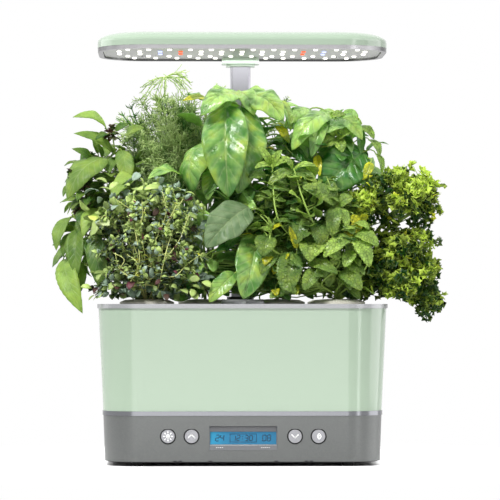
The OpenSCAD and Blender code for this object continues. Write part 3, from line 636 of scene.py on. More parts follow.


# Blades placed one by one: base x y z, tip x y z and width (mm), the face's turn and tilt, the bulge and the fold, and
# the tone, which goes from 0, dark, to 0.9, light, and then to 1, yellow
# The light tones of the top leaves are partly painted light, standing for the lamp's light on them
BASIL_LEAVES = [
    (-15, -22, 332, -13, -50, 245, 43, -0.15, 0.45, 0.16, 0.1, 0.38),
    (-1, -18, 331, -4, -38, 249, 40, 0.4, 0.45, 0.16, 0.12, 0.38),
    (-4, -14, 341, -38, -44, 321, 26, -0.3, 0.8, 0.24, -0.12, 0.88),
    (6, -10, 342, 38, -30, 317, 29, 0.1, 0.8, 0.24, -0.15, 0.88),
    (-8, -6, 343, -34, -22, 338, 20, -0.1, 1.0, 0.2, -0.1, 0.85),
    (2, -2, 345, 24, -14, 338, 18, 0.1, 1.0, 0.22, -0.1, 0.8),
    (36, -4, 338, 45, -18, 308, 11, 0.8, 0.3, 0.12, 0.3, 0.45),
    (-31, -16, 298, -46, -40, 251, 35, -0.9, 0.45, 0.3, -0.42, 0.5),
    (-25, -20, 275, -32, -34, 243, 17, -0.3, 0.3, 0.12, 0.15, 0.7),
    (-56, -26, 265, -87, -52, 262, 15, 0, 1.3, 0.22, 0.15, 0.66),
    (5, -46, 237, -34, -66, 199, 36, 0.1, 0.7, 0.14, 0.1, 0.25),
    (13, -44, 211, 0, -73, 152, 34, 0.25, 0.2, 0.1, 0.14, 0.5),
    (-7, -62, 176, -31, -72, 149, 18, -0.2, 0.35, 0.12, 0.16, 0.6),
    (82, -4, 325, 46, -26, 290, 24, -0.3, 0.6, 0.26, -0.16, 0.88),
    (-3, -8, 345, 11, -28, 322, 20, 0.2, 0.7, 0.24, 0.1, 0.8),
    (-4, -4, 346, -18, -24, 326, 18, -0.2, 0.8, 0.24, 0.1, 0.7),
    (64, 0, 330, 40, -16, 312, 15, -0.25, 0.7, 0.2, -0.1, 0.88),
    (74, -2, 322, 64, -28, 283, 17, 0.1, 0.5, 0.24, 0.1, 0.85),
    (68, -8, 305, 96, -22, 312, 16, 0.0, 0.7, 0.2, 0.1, 0.75),
    (88, -2, 322, 112, -18, 300, 17, 0.1, 0.7, 0.24, 0.1, 0.85),
    (114, -6, 290, 72, -20, 252, 43, 0.15, 0.45, 0.12, 0.1, 0.12),
    (96, -14, 272, 120, -24, 256, 17, 0.5, 0.3, 0.1, 0.2, 0.22),
    (110, 0, 314, 111, -10, 287, 9, 0.3, 0.3, 0.05, 0.35, 0.15),
    (45, 4, 298, 68, -8, 274, 16, 0, 0.5, 0.1, 0.1, 0.15),
    (88, 6, 328, 68, -4, 319, 10, -0.4, 1.2, 0.15, 0.2, 0.8),
    (120, -18, 279, 113, -26, 264, 9, 0.2, 0.5, 0.1, 0.2, 1),
    (70, -12, 286, 72, -24, 266, 8, -0.2, 0.2, 0.12, 0.25, 1),
    (32, -6, 316, 44, -16, 297, 9, 0, 0.5, 0.15, 0.25, 1),
    (-34, 6, 341, -55, -4, 337, 7, 0, 0.8, 0.1, 0.2, 1),
]
THAI_LEAVES = [
    (-126, 4, 311, -157, -14, 321, 14, -0.1, 1, 0.3, -0.2, 0.85),
    (-97, -14, 266, -120, -38, 251, 15, -0.1, 1.2, 0.2, 0.2, 0.85),
    (-104, -22, 258, -122, -52, 240, 13, -0.2, 0.9, 0.2, 0.1, 0.75),
    (-120, 6, 289, -156, -12, 306, 14, -0.2, 0.9, 0.16, 0.2, 0.55),
    (-141, 4, 282, -158, -8, 292, 9, -0.4, 0.6, 0.2, 0.35, 0.25),
    (-126, 0, 284, -162, -24, 244, 31, -0.5, 0.75, 0.22, -0.14, 0.5),
    (-160, -6, 259, -166, -16, 247, 6, -0.5, 0.3, 0.1, 0.2, 0.2),
    (-112, -4, 291, -106, -24, 256, 17, 0.15, 0.45, 0.14, 0.14, 0.45),
    (-118, 0, 284, -124, -16, 268, 12, -0.3, 0.6, 0.12, 0.2, 0.4),
    (-125, -6, 306, -136, -14, 300, 7, -0.3, 0.6, 0.15, 0.3, 0.1),
    (-118, -4, 309, -105, -8, 315, 7, 0.2, 0.6, 0.15, 0.3, 0.1),
    (-132, -14, 236, -147, -36, 209, 16, -0.4, 0.5, 0.18, 0.2, 0.8),
    (-161, -10, 228, -172, -24, 197, 14, -0.6, 0.3, 0.18, 0.12, 0.55),
    (-153, -16, 217, -152, -34, 173, 18, -0.3, 0.3, 0.1, 0.45, 0.4),
    (-157, -12, 214, -165, -24, 190, 9, -0.7, 0.3, 0.2, 0.3, 0.3),
    (-149, -14, 186, -149, -22, 159, 9, 0.2, 0.2, 0.1, 0.2, 0.2),
    (-166, -14, 189, -147, -44, 139, 21, -0.35, 0.35, 0.16, 0.08, 0.75),
    (-145, -24, 210, -126, -40, 164, 16, 0.3, 0.2, 0.1, 0.2, 0.15),
    (-136, -30, 214, -125, -46, 154, 19, -0.3, 0.3, 0.14, 0.15, 0.22),
    (-138, 6, 266, -112, -6, 260, 10, 0.1, 0.4, 0.1, 0.2, 0.4),
    (-108, 10, 306, -91, 0, 312, 11, 0.2, 0.7, 0.15, 0.2, 0.5),
]
MINT_LEAVES = [
    (26, -40, 275, 14, -48, 292, 8, -0.2, 0.8, 0.15, 0.15, 0.85),
    (27, -40, 275, 36, -46, 289, 8, 0.2, 0.8, 0.15, 0.15, 0.88),
    (26, -42, 274, 11, -54, 272, 8, -0.3, 0.7, 0.18, 0.15, 0.6),
    (28, -42, 273, 42, -52, 279, 9, 0.2, 0.9, 0.15, 0.15, 0.88),
    (46, -44, 272, 35, -52, 283, 8, -0.1, 0.9, 0.15, 0.15, 0.88),
    (47, -44, 271, 67, -54, 274, 8, 0.2, 1, 0.18, 0.15, 0.85),
    (46, -44, 270, 23, -58, 257, 11, -0.1, 0.6, 0.18, 0.12, 0.4),
    (48, -44, 269, 67, -56, 259, 11, 0.3, 0.6, 0.15, 0.15, 0.4),
    (22, -40, 266, 5, -48, 264, 10, -0.2, 0.5, 0.15, 0.15, 0.3),
    (87, -50, 240, 54, -58, 255, 18, -0.2, 0.7, 0.15, 0.14, 0.42),
    (87, -50, 239, 101, -54, 245, 13, 0.3, 0.7, 0.15, 0.14, 0.45),
    (85, -52, 237, 81, -66, 209, 15, -0.1, 0.35, 0.15, 0.2, 0.32),
    (89, -52, 236, 95, -62, 217, 10, 0.4, 0.4, 0.15, 0.2, 0.65),
    (100, -60, 210, 73, -74, 190, 17, -0.2, 0.8, 0.14, 0.12, 0.62),
    (101, -60, 211, 115, -74, 181, 17, 0.25, 0.55, 0.16, 0.12, 0.72),
    (103, -60, 212, 123, -70, 200, 17, 0.5, 0.8, 0.16, 0.1, 0.55),
    (100, -62, 196, 92, -72, 181, 12, -0.1, 0.4, 0.12, 0.15, 0.68),
    (22, -58, 210, 18, -70, 191, 20, 0, 0.35, 0.2, 0.1, 0.28),
    (54, -52, 227, 48, -66, 202, 20, -0.1, 0.3, 0.2, 0.1, 0.25),
    (68, -54, 224, 71, -66, 199, 19, 0.2, 0.3, 0.2, 0.1, 0.25),
    (58, -58, 205, 61, -72, 186, 17, 0.1, 0.5, 0.2, 0.1, 0.5),
    (44, -56, 195, 39, -70, 156, 24, 0, 0.25, 0.16, 0.12, 0.28),
    (61, -60, 185, 86, -72, 175, 13, 0.1, 0.7, 0.16, 0.15, 0.4),
    (89, -60, 177, 108, -70, 160, 17, 0.2, 0.6, 0.16, 0.12, 0.35),
    (30, -58, 195, 16, -68, 175, 14, -0.2, 0.4, 0.16, 0.12, 0.3),
    (67, -62, 179, 55, -70, 160, 14, -0.1, 0.3, 0.16, 0.12, 0.35),
    (35, -40, 250, 21, -50, 236, 15, -0.1, 0.3, 0.16, 0.12, 0.15),
    (73, -46, 256, 87, -54, 250, 14, 0.1, 0.5, 0.16, 0.12, 0.3),
    (53, -48, 239, 44, -56, 233, 10, -0.1, 0.5, 0.16, 0.12, 0.5),
    (26, -60, 216, 23, -64, 227, 3, 0, 0.6, 0.1, 0.2, 0.88),
    (27, -60, 216, 35, -66, 220, 5, 0.2, 0.8, 0.1, 0.2, 1),
    (26, -60, 215, 16, -66, 217, 4, -0.2, 0.8, 0.1, 0.2, 0.8),
    (49, -62, 198, 42, -70, 218, 6, 0, 0.4, 0.05, 0.3, 0.97),
    (80, 0, 319, 97, -8, 324, 11, 0.1, 1, 0.2, 0.15, 0.75),
    (81, 0, 319, 68, -6, 323, 9, -0.1, 1, 0.2, 0.15, 0.88),
    (94, -2, 317, 112, -12, 315, 12, 0.3, 1, 0.2, 0.15, 0.7),
    (109, -4, 313, 123, -14, 301, 11, 0.5, 0.8, 0.2, 0.15, 0.55),
    (119, -6, 301, 128, -16, 285, 10, 0.7, 0.6, 0.2, 0.15, 0.6),
    (125, -8, 288, 130, -18, 269, 7, 0.6, 0.4, 0.2, 0.15, 0.5),
    (88, -10, 304, 79, -14, 318, 11, -0.1, 0.7, 0.15, 0.15, 0.75),
    (88, -12, 302, 102, -18, 308, 11, 0.2, 0.8, 0.15, 0.15, 0.7),
    (88, -12, 301, 73, -20, 293, 13, -0.1, 0.7, 0.15, 0.15, 0.55),
    (89, -12, 301, 93, -22, 288, 11, 0.1, 0.5, 0.15, 0.15, 0.6),
]

# Stems, each from its pod: points it goes through after the pod (millimetres)
STEMS = {
    "basil": [
        [(18, -8, 220), (2, -12, 290), (0, -12, 342)],
        [(40, 0, 220), (60, 2, 270), (84, 0, 324)],
        [(50, 4, 210), (92, 0, 262), (114, -4, 292)],
        [(16, -18, 190), (4, -40, 215), (4, -44, 236)],
        [(14, -6, 210), (-22, -10, 260), (-36, 0, 338)],
        [(26, -22, 174), (12, -40, 198), (12, -42, 212)],
        [(30, 14, 220), (20, 22, 280), (14, 24, 325)],
        [(48, 16, 220), (66, 26, 270), (76, 26, 310)],
    ],
    "thai_basil": [
        [(-96, 26, 210), (-112, 12, 260), (-122, 0, 312)],
        [(-104, 24, 200), (-132, 8, 240), (-146, 0, 262)],
        [(-110, 16, 180), (-138, -8, 205), (-158, -12, 232)],
        [(-112, 12, 172), (-140, -10, 182), (-164, -14, 192)],
        [(-92, 40, 210), (-118, 30, 262), (-138, 26, 284)],
    ],
    "mint": [
        [(78, -44, 190), (44, -52, 210), (30, -64, 232), (27, -42, 276)],
        [(84, -52, 190), (64, -62, 222), (54, -60, 246), (47, -46, 272)],
        [(88, -44, 190), (92, -48, 220), (87, -48, 242)],
        [(94, -44, 175), (104, -54, 195), (102, -58, 214)],
        [(78, -44, 175), (40, -56, 190), (25, -66, 200), (26, -56, 218)],
        [(91, -42, 158), (106, -54, 170), (116, -58, 188)],
        [(86, -46, 160), (96, -56, 172), (98, -60, 184)],
        [(82, -46, 158), (72, -56, 166), (84, -64, 178)],
        [(92, -20, 220), (96, -8, 280), (88, -8, 306)],
        [(94, -24, 230), (104, -8, 290), (96, -2, 318)],
        [(82, -42, 172), (70, -50, 200), (60, -52, 228)],
    ],
}


def herb_stems(herb):
    """Paths of a herb's stems, which root 16 mm under the deck and come up through the middle of its pod."""
    x, y = PODS[herb]
    return stem_paths([[(x, y, DECK_Z - 16), (x, y, DECK_Z + 4), *s] for s in STEMS[herb]])


class GrowBasil(bpy.types.Operator):
    """Sweet basil: broad glossy blades that swell between sunken veins"""
    bl_idname = "herb_garden.basil"
    bl_label = "Grow basil"

    def execute(self, context):
        garden = context.scene.herb_garden
        herbs, sizes = garden.herbs, garden.sizes
        rng = np.random.default_rng(sizes.seed + 1)
        paths = herb_stems("basil")
        front = placed(BASIL_LEAVES)
        rest = clear_of_lid(np.vstack([
            leafy(paths[[0, 1, 2, 4, 6, 7]], rng, 0.42, 26, 42, (-0.5, 0.5), 0.6, (0.2, 0.7), (-24, 56)),
            thicket([((8, 6, 268), (46, 34, 62), 105), ((78, 12, 268), (46, 34, 50), 105),
                     ((4, -22, 196), (38, 26, 40), 70), ((0, -24, 170), (56, 30, 16), 70),
                     ((-34, -20, 178), (16, 30, 26), 50), ((20, 6, 162), (96, 40, 7), 90)], rng, 27, 0.6,
                    (0.02, 0.85), y_range=(-62, 62)),
        ]), paths)
        skin = {"veins": 7, "slope": 1.5, "grain_mm": 2.0, "bump": 0.7, "thin": 0.36}
        gloss = {"rough": 0.3, "coat": 0.5}
        # Deep green blades are even, younger ones patchy, and the one between shows its pale, dull underside
        leaf = leaf_material("Sweet basil blade", herbs.basil_light, herbs.basil_dark, pale=0.22, **skin, **gloss)
        patchy = leaf_material("Patchy basil blade", herbs.basil_light, herbs.basil_dark, pale=0.36, mottle=0.34,
                               **skin, **gloss)
        dull = leaf_material("Dull basil blade", linear("C6D8AC"), linear("5A7E4C"), pale=0.2, rough=0.6, coat=0.1,
                             **skin)
        stem = stem_material("Sweet basil stem", herbs.stem, herbs.basil_dark)
        tone = front[:, 12]
        kinds = tone < 0.25, tone > 0.3, (tone >= 0.25) & (tone <= 0.3)
        parts = [(blades(front[kind], BASIL_FORM, rng, 28, 15, sizes.blade, 7, 1.5, 0.05, wave=0.07), slot)
                 for slot, kind in enumerate(kinds)]
        small = blades(rest, BASIL_FORM, rng, 15, 7, sizes.blade, 5, 1.2, 0.045, wave=0.06)
        herb_piece("basil_leaves", parts, [leaf, patchy, dull], ["basil"])
        herb_piece("basil_small_leaves", [(small, 0)], [leaf])
        herb_piece("basil_stems", [(stem_bars(paths, sizes.stem, 0.7), 0),
                                   (stalks(np.vstack([front, rest]), paths, sizes.stalk * 1.4), 0)], [stem])
        return {"FINISHED"}


def flower_head(at, lean, rng):
    """Rows of bracts crowded in seven whorls of seven round a short axis, smaller and steeper the higher they are, so
    that they make an egg-shaped head."""
    rows = []
    for k in range(7):
        for a in np.arange(0, 2 * math.pi, math.pi / 3.5):
            out = np.array([math.cos(a + k), math.sin(a + k), -0.3 + 0.22 * k])
            base = np.array(at) + np.array(lean) * k * 1.5 + rng.normal(0, 0.4, 3)
            size = rng.uniform(5.5, 10) * (1 - 0.07 * k)
            rows.append([*base, *(base + unit(out + rng.normal(0, 0.25, 3)) * size), size * 0.5,
                         *(np.array([0, 0, 1]) + rng.normal(0, 0.4, 3)), 0.2, 0.3, rng.uniform(0, 0.8)])
    return rows


class GrowThaiBasil(bpy.types.Operator):
    """Thai basil: narrow pointed blades and purple flower heads"""
    bl_idname = "herb_garden.thai_basil"
    bl_label = "Grow Thai basil"

    def execute(self, context):
        garden = context.scene.herb_garden
        rng = np.random.default_rng(garden.sizes.seed + 2)
        paths = herb_stems("thai_basil")
        rows = np.vstack([
            placed(THAI_LEAVES),
            leafy(paths, rng, 0.45, 17, 24, (-0.5, 0.5), 0.42, (0.1, 0.6), (0, 60)),
            thicket([((-124, 14, 262), (30, 28, 38), 70), ((-138, 4, 205), (26, 24, 34), 50),
                     ((-142, -4, 240), (14, 20, 24), 40)], rng, 22, 0.5, (0.05, 0.6)),
        ])
        heads = np.array([bract for at, lean in (
            ((-122, 0, 303), (0.1, -0.1, 1)), ((-146, 0, 253), (-0.3, -0.2, 0.9)),
            ((-151, -8, 230), (-0.2, -0.2, 0.9)), ((-138, 26, 278), (-0.2, 0.1, 1)),
            ((-156, -12, 262), (-0.3, 0, 0.8)), ((-146, -12, 255), (-0.3, 0, 0.8)),
            ((-149, -12, 238), (-0.2, -0.2, 0.9)),
        ) for bract in flower_head(at, lean, rng)])
        herbs = garden.herbs
        leaf = leaf_material("Thai basil blade", herbs.thai_light, herbs.thai_dark, veins=8, slope=2.0, pale=0.28,
                             rough=0.38, mottle=0.12, bump=0.5)
        bract = leaf_material("Thai basil bract", herbs.flower, herbs.thai_dark, rough=0.5)
        stem = stem_material("Thai basil stem", herbs.stem, herbs.flower)
        herb_piece("thai_basil_leaves", [
            (blades(rows, THAI_FORM, rng, 21, 7, garden.sizes.blade, 8, 2.0, 0.016, 0.05, 0.03), 0),
            (blades(heads, THYME_FORM, rng, 6, 4, 0.4), 1)], [leaf, bract], ["thai_basil"])
        herb_piece("thai_basil_stems", [(stem_bars(paths, garden.sizes.stem * 0.8, 0.6), 0),
                                        (stalks(rows, paths, garden.sizes.stalk), 0)], [stem])
        return {"FINISHED"}


class GrowMint(bpy.types.Operator):
    """Mint: toothed, quilted blades in crossed pairs, and small young ones at the tips"""
    bl_idname = "herb_garden.mint"
    bl_label = "Grow mint"

    def execute(self, context):
        garden = context.scene.herb_garden
        rng = np.random.default_rng(garden.sizes.seed + 3)
        paths = herb_stems("mint")
        rows = np.vstack([placed(MINT_LEAVES), clear_of_lid(np.vstack([
            leafy(paths[[0, 1, 2, 3, 4, 10]], rng, 0.3, 13, 20, (-0.6, 0.4), 0.66, (0.05, 0.5), (-60, -8)),
            leafy(paths[[8, 9]], rng, 0.35, 15, 22, (-0.4, 0.5), 0.6, (0.3, 0.9), (-14, 40)),
            thicket([((62, -40, 216), (56, 24, 52), 290), ((84, -44, 200), (28, 24, 32), 90),
                     ((30, -44, 174), (36, 24, 26), 120), ((60, -30, 160), (60, 34, 6), 60)], rng, 16, 0.7,
                    (0.0, 1.0), y_range=(-77, -4)),
        ]), paths)])
        leaf = leaf_material("Mint blade", garden.herbs.mint_light, garden.herbs.mint_dark, veins=8, slope=1.7,
                             pale=0.22, rough=0.34, grain_mm=2.0, bump=0.8, mottle=0.15, quilt_mm=3.4,
                             coat=0.25)
        stem = stem_material("Mint stem", garden.herbs.stem, garden.herbs.mint_dark)
        # The listed leaves are made lighter, short of yellow, and get the finer grid
        front, rest = np.split(rows, [len(MINT_LEAVES)])
        # Painted light: the front leaves get lighter tones so that they look lit
        front[:, 12] = np.where(front[:, 12] > 0.9, 1, np.minimum(front[:, 12] * 1.3, 0.88))
        herb_piece("mint_leaves", [
            (blades(front, MINT_FORM, rng, 25, 11, garden.sizes.blade, 8, 1.7, 0.045, 0.16, 0.04), 0),
            (blades(rest, MINT_FORM, rng, 11, 5, garden.sizes.blade, 6, 1.7, 0.04, 0.2, 0.05), 0)],
            [leaf], ["mint"])
        herb_piece("mint_stems", [(stem_bars(paths, garden.sizes.stem * 0.9, 0.7), 0),
                                  (stalks(rows, paths, garden.sizes.stalk), 0)], [stem])
        return {"FINISHED"}


def arching(start, ends, sag, rows, kick):
    """Paths from one start: each rises by kick, then bends over to its end as a cubic Bezier that sags at its end."""
    n = len(ends)
    a = np.broadcast_to(np.asarray(start, float), (n, 3))
    b = a + np.array([0, 0, kick])
    c = ends + np.stack([(a - ends)[:, 0] * 0.25, (a - ends)[:, 1] * 0.25, sag], 1)
    t = np.linspace(0, 1, rows)[None, :, None]
    return (a[:, None] * (1 - t) ** 3 + 3 * b[:, None] * t * (1 - t) ** 2 + 3 * c[:, None] * t ** 2 * (1 - t)
            + ends[:, None] * t ** 3)


class GrowThyme(bpy.types.Operator):
    """Thyme: a dense mound of wiry stems with tiny leaves in pairs"""
    bl_idname = "herb_garden.thyme"
    bl_label = "Grow thyme"

    def execute(self, context):
        garden = context.scene.herb_garden
        rng = np.random.default_rng(garden.sizes.seed + 4)
        x, y = PODS["thyme"]
        n = garden.sizes.thyme_stems
        # The stems end on a ball whose lower half is opened out to a skirt, down to the deck
        middle = np.array([-86, -44, 204])
        way = unit(rng.normal(0, 1, (n, 3)) * [1, 1, 0.9])
        way[:, 2] = np.where(way[:, 2] < -0.7, -way[:, 2], way[:, 2])
        skirt = np.where(way[:, 2:] < 0, 1 / np.sqrt(1.06 - way[:, 2:] ** 2), 1.0)
        ends = middle + way * [54, 30, 54] * rng.uniform(0.72, 1.06, (n, 1))
        ends[:, :2] = middle[:2] + (ends[:, :2] - middle[:2]) * np.minimum(skirt, 1.9)
        ends[:, 2] = np.maximum(ends[:, 2], DECK_Z + 5)
        ends[:, 1] = np.clip(ends[:, 1], -77, 4)
        paths = arching((x, y, DECK_Z - 14), ends, rng.uniform(2, 20, n), 16, 16)
        small = self.pairs(paths, garden.sizes.thyme_leaf, rng)
        broad = thicket([((-86, -46, 222), (52, 30, 40), 200), ((-86, -46, 176), (54, 30, 26), 90),
                         ((-114, -48, 166), (22, 26, 14), 70), ((-122, -46, 160), (18, 24, 9), 50),
                         ((-54, -46, 170), (30, 28, 20), 90), ((-86, -58, 164), (46, 18, 12), 90)],
                        rng, 10, 0.62, (0.05, 0.85), 0.2)
        top = thicket([((-112, -48, 252), (24, 22, 10), 16), ((-136, -40, 234), (8, 20, 16), 8)], rng, 16, 0.55,
                      (0.6, 0.9), 0.2)
        # Painted light: leaves high on the mound get lighter tones, as on its lit top
        for leaves in (small, broad):       # the upper ones are lighter
            leaves[:, 12] = np.minimum(leaves[:, 12] + 0.3 * np.clip((leaves[:, 2] - 205) / 40, 0, 1), 0.88)
        # Painted shade: a thicket of near-black leaves inside the mound stands for its dark inside
        deep = thicket([((-88, -26, 206), (46, 16, 50), 210)], rng, 14, 0.6, (0.0, 0.06), 0.2)
        runners = self.runners(x, y, 20, rng)
        runner_leaves = leafy(runners, rng, 0.3, 9, 6.5, (-0.3, 0.7), 0.6, (0.3, 1.0), (-78, -20))
        herbs = garden.herbs
        green = leaf_material("Thyme leaf", herbs.thyme_light, herbs.thyme_dark, rough=0.4, thin=0.22, grain_mm=0.8)
        blue = leaf_material("Waxy thyme leaf", herbs.thyme_waxy, herbs.thyme_dark, rough=0.35, thin=0.15, grain_mm=0.8)
        purple = leaf_material("Purple thyme leaf", herbs.flower, herbs.thyme_dark, rough=0.5, thin=0.2)
        stem = stem_material("Thyme stem", herbs.runner, herbs.wood)
        for name, group, rows, cols, odd, hidden in (
                ("thyme_leaves", np.vstack([small, runner_leaves]), 4, 2, (0.3, 0.34), ["thyme"]),
                ("thyme_broad_leaves", np.vstack([broad, top, deep]), 6, 4, (0.45, 0.5), [])):
            draw = rng.uniform(0, 1, len(group))
            kinds = draw > odd[1], draw < odd[0], (draw >= odd[0]) & (draw <= odd[1])
            herb_piece(name, [(blades(group[kind], THYME_FORM, rng, rows, cols, 0.35, 4, pucker=0.02), slot)
                              for slot, kind in enumerate(kinds)], [green, blue, purple], hidden)
        herb_piece("thyme_stems", [(stem_bars(paths, 0.55, 0.28, 5), 0), (stem_bars(runners, 0.55, 0.36, 5), 0)],
                   [stem])
        return {"FINISHED"}

    def pairs(self, paths, long, rng):
        """Rows of tiny leaves in crossed pairs, at 24 even steps up each stem from a quarter of its length upwards."""
        places = np.linspace(0.25, 1, 24)
        at = np.stack([points_at(path, np.linspace(0, 1, len(path)), places) for path in paths])
        ahead = unit(np.gradient(at, axis=1))
        side = unit(np.cross(ahead, rng.normal(0, 1, (len(paths), 1, 3))))
        crossed = (np.arange(len(places)) % 2)[None, :, None]
        out = side * (1 - crossed) + np.cross(ahead, side) * crossed
        rows = []
        for sign in (1, -1):
            go = unit(out * sign + ahead * 0.7 + rng.normal(0, 0.3, at.shape))
            size = long * rng.uniform(0.6, 1.5, at.shape[:2])[..., None]
            tone = np.clip(rng.normal(0.3, 0.32, at.shape[:2]) + 0.45 * places ** 3, 0, 0.9)[..., None]
            rows.append(np.concatenate([at, at + go * size, size * 0.62, ahead + [0, 0, 0.8],
                                        np.full_like(size, 0.1), np.full_like(size, 0.25), tone], 2).reshape(-1, 13))
        return with_room(np.concatenate(rows))

    def runners(self, x, y, count, rng):
        """Paths of the young stems that wind up over the front of the mound, narrower at its top and its foot."""
        tips = np.stack([rng.uniform(-138, -34, count), rng.uniform(-76, -66, count), rng.uniform(166, 252, count)], 1)
        tips[:, 0] = -86 + (tips[:, 0] + 86) * np.clip(1.25 - np.abs(tips[:, 2] - 200) / 90, 0.5, 1)
        share = np.linspace(0.25, 1, 4)[None, :, None]
        kinks = np.array([x, -58, DECK_Z + 4]) * (1 - share) + tips[:, None] * share
        kinks = np.clip(kinks + rng.normal(0, 4.5, (count, 4, 3)), [-145, -77, DECK_Z + 4], [-20, -30, 260])
        return stem_paths([[(x, y, DECK_Z), *kink] for kink in kinks], 22)


def offshoots(paths, rng, pairs, size, lean, first):
    """Threads that leave both sides of each path, in pairs from the share first of its length upwards, leaning
    lean radians off its direction. They shorten towards its tip, and bend a little upwards. Four points each."""
    n, rows, _ = paths.shape
    share = np.linspace(first, 0.97, pairs)
    ahead = unit(np.gradient(paths, axis=1))
    pick = share * (rows - 1)
    low = np.minimum(pick.astype(int), rows - 2)
    f = (pick - low)[None, :, None]
    at = paths[:, low] * (1 - f) + paths[:, low + 1] * f
    go = unit(ahead[:, low] * (1 - f) + ahead[:, low + 1] * f)
    flat = unit(np.cross(go, rng.normal(0, 1, (n, 1, 3)) + [0, 0, 0.5]))
    out = []
    for sign in (1, -1):
        tilt = lean * rng.uniform(0.7, 1.25, (n, pairs, 1))
        way = unit(go * np.cos(tilt) + flat * sign * np.sin(tilt) + rng.normal(0, 0.16, go.shape))
        long = size * (1 - 0.62 * share)[None, :, None] * rng.uniform(0.7, 1.2, (n, pairs, 1))
        t = np.linspace(0, 1, 4)
        bow = rng.normal(0, 0.12, go.shape) + [0, 0, 0.06]
        out.append(at[:, :, None] + way[:, :, None] * long[:, :, None] * t[:, None]
                   + bow[:, :, None] * long[:, :, None] * (t ** 2)[:, None])
    return np.concatenate(out, 1).reshape(-1, 4, 3)


class GrowDill(bpy.types.Operator):
    """Dill: a thicket of feathery fronds of fine threads"""
    bl_idname = "herb_garden.dill"
    bl_label = "Grow dill"

    def execute(self, context):
        garden = context.scene.herb_garden
        sizes = garden.sizes
        rng = np.random.default_rng(sizes.seed + 5)
        x, y = PODS["dill"]
        n = sizes.dill_fronds
        way = unit(rng.normal(0, 1, (n, 3)))
        # The fronds' tips fill a crown, a smaller ball to its left, and a few single places beyond
        ends = np.array([-71, 28, 309]) + way * np.array([48, 30, 38]) * rng.uniform(0.2, 1.0, (n, 1)) ** 0.5
        ends[:14] = np.array([-94, 18, 274]) + way[:14] * [26, 24, 22]
        lone = np.array([(-104, 24, 334), (-112, 20, 326), (-96, 26, 342), (-20, 40, 352), (-8, 42, 346), (44, 44, 342),
                         (60, 40, 328), (34, 36, 306), (24, 34, 296), (46, 34, 300), (30, 30, 312)], float)
        hub = np.array([-58, 22, 236])
        spine = np.stack([smooth_path([(x, y, DECK_Z - 14), (x, y, DECK_Z + 8), (x - 8 + 5 * k, y + 8, 210),
                                       hub + [6 * k - 9, 3 * k - 4, 6 * k]], 20) for k in range(4)])

        def fronds(tips, pinnae, reach, threads, small, first):
            """Fronds from the upper parts of the spines to tips: the middle thread of each, its side threads and
            theirs."""
            roots = spine[rng.integers(0, 4, len(tips)), rng.integers(12, 20, len(tips))]
            middle = roots * 0.5 + tips * 0.5 + [0, 0, 12] + rng.normal(0, 7, tips.shape)
            rachis = bent(roots, middle, tips, 10)
            pinna = offshoots(rachis, rng, pinnae, reach, 0.95, first)
            return rachis, pinna, offshoots(pinna, rng, threads, small, 0.85, 0.1)

        # The umbel at the top: bare rays that droop from one point, with forks on their outer halves
        top = np.array([-71, 26, 361])
        ray = rng.uniform(0, 2 * math.pi, 17)
        spread = np.stack([np.cos(ray), 0.6 * np.sin(ray), rng.uniform(-0.35, 0.75, 17)], 1)
        droop = np.stack([0 * ray, 0 * ray, rng.uniform(-24, -9, 17)], 1)
        t = np.linspace(0, 1, 10)[None, :, None]
        rays = top + spread[:, None] * 23 * t + droop[:, None] * t ** 2
        stalk = smooth_path([hub, (-66, 30, 310), (-72, 28, 344), top], 10)[None]
        forks = offshoots(rays, rng, 3, 11, 0.6, 0.45)
        thick, loose = fronds(ends, 7, 26.0, 5, 11.5, 0.4), fronds(lone, 4, 14.0, 3, 6.5, 0.72)
        r = sizes.thread

        def bars(paths, foot, tip, sides, youth=np.zeros(1)):
            """Threads that thin evenly from foot to tip. Their tone is lighter the further to the front and the higher
            they start, as painted light on the lit front and top of the thicket, and it follows the youth of their
            frond."""
            tone = 0.63 - 0.011 * (paths[:, 0, 1] - 26) + 0.004 * (paths[:, 0, 2] - 305)
            tone += np.repeat(youth, len(paths) // len(youth))
            return {"points": carry(paths, along_each(paths, foot, tip), sides),
                    "tone": np.clip(tone + rng.normal(0, 0.25, len(paths)), 0, 0.88)}

        herbs = garden.herbs
        leaf = leaf_material("Dill thread", herbs.dill_light, herbs.dill_dark, rough=0.4, thin=0.25)
        stem = stem_material("Dill stem", herbs.stem, herbs.dill_dark)
        parts = [(bars(rays, r * 1.2, r, 4), 0), (bars(stalk, 1.0, 0.5, 6), 0), (bars(forks, r, r * 0.8, 3), 0)]
        for rachis, pinna, thread in (thick, loose):
            youth = rng.normal(0, 0.3, len(rachis))
            parts += [(bars(rachis, r * 2.2, r * 1.2, 4, youth), 0), (bars(pinna, r * 1.3, r, 3, youth), 0),
                      (bars(thread[:, [0, 2, 3]], r, r * 0.7, 3, youth), 0)]
        herb_piece("dill_fronds", parts, [leaf], ["dill"])
        herb_piece("dill_stems", [(stem_bars(spine, sizes.stem, 0.9), 0)], [stem])
        return {"FINISHED"}


def rosettes(hubs, facing, count, reach, tilt, rng):
    """Places round each hub, count to a hub, in a plane square to facing that each place tilts away from a little.
    Gives the places, the unit vectors that lead out to them, the ways they look and the number of each one's hub."""
    owner = np.repeat(np.arange(len(hubs)), count)
    look = unit(facing[owner] + rng.normal(0, tilt, (len(owner), 3)))
    side = unit(np.cross(look, np.repeat(rng.normal(0, 1, (len(hubs), 3)), count, 0)))
    turn = (np.tile(np.arange(count), len(hubs)) + rng.uniform(-0.3, 0.3, len(owner)))[:, None] * 2 * math.pi / count
    out = side * np.cos(turn) + np.cross(look, side) * np.sin(turn)
    return hubs[owner] + out * rng.uniform(*reach, (len(owner), 1)), out, look, owner


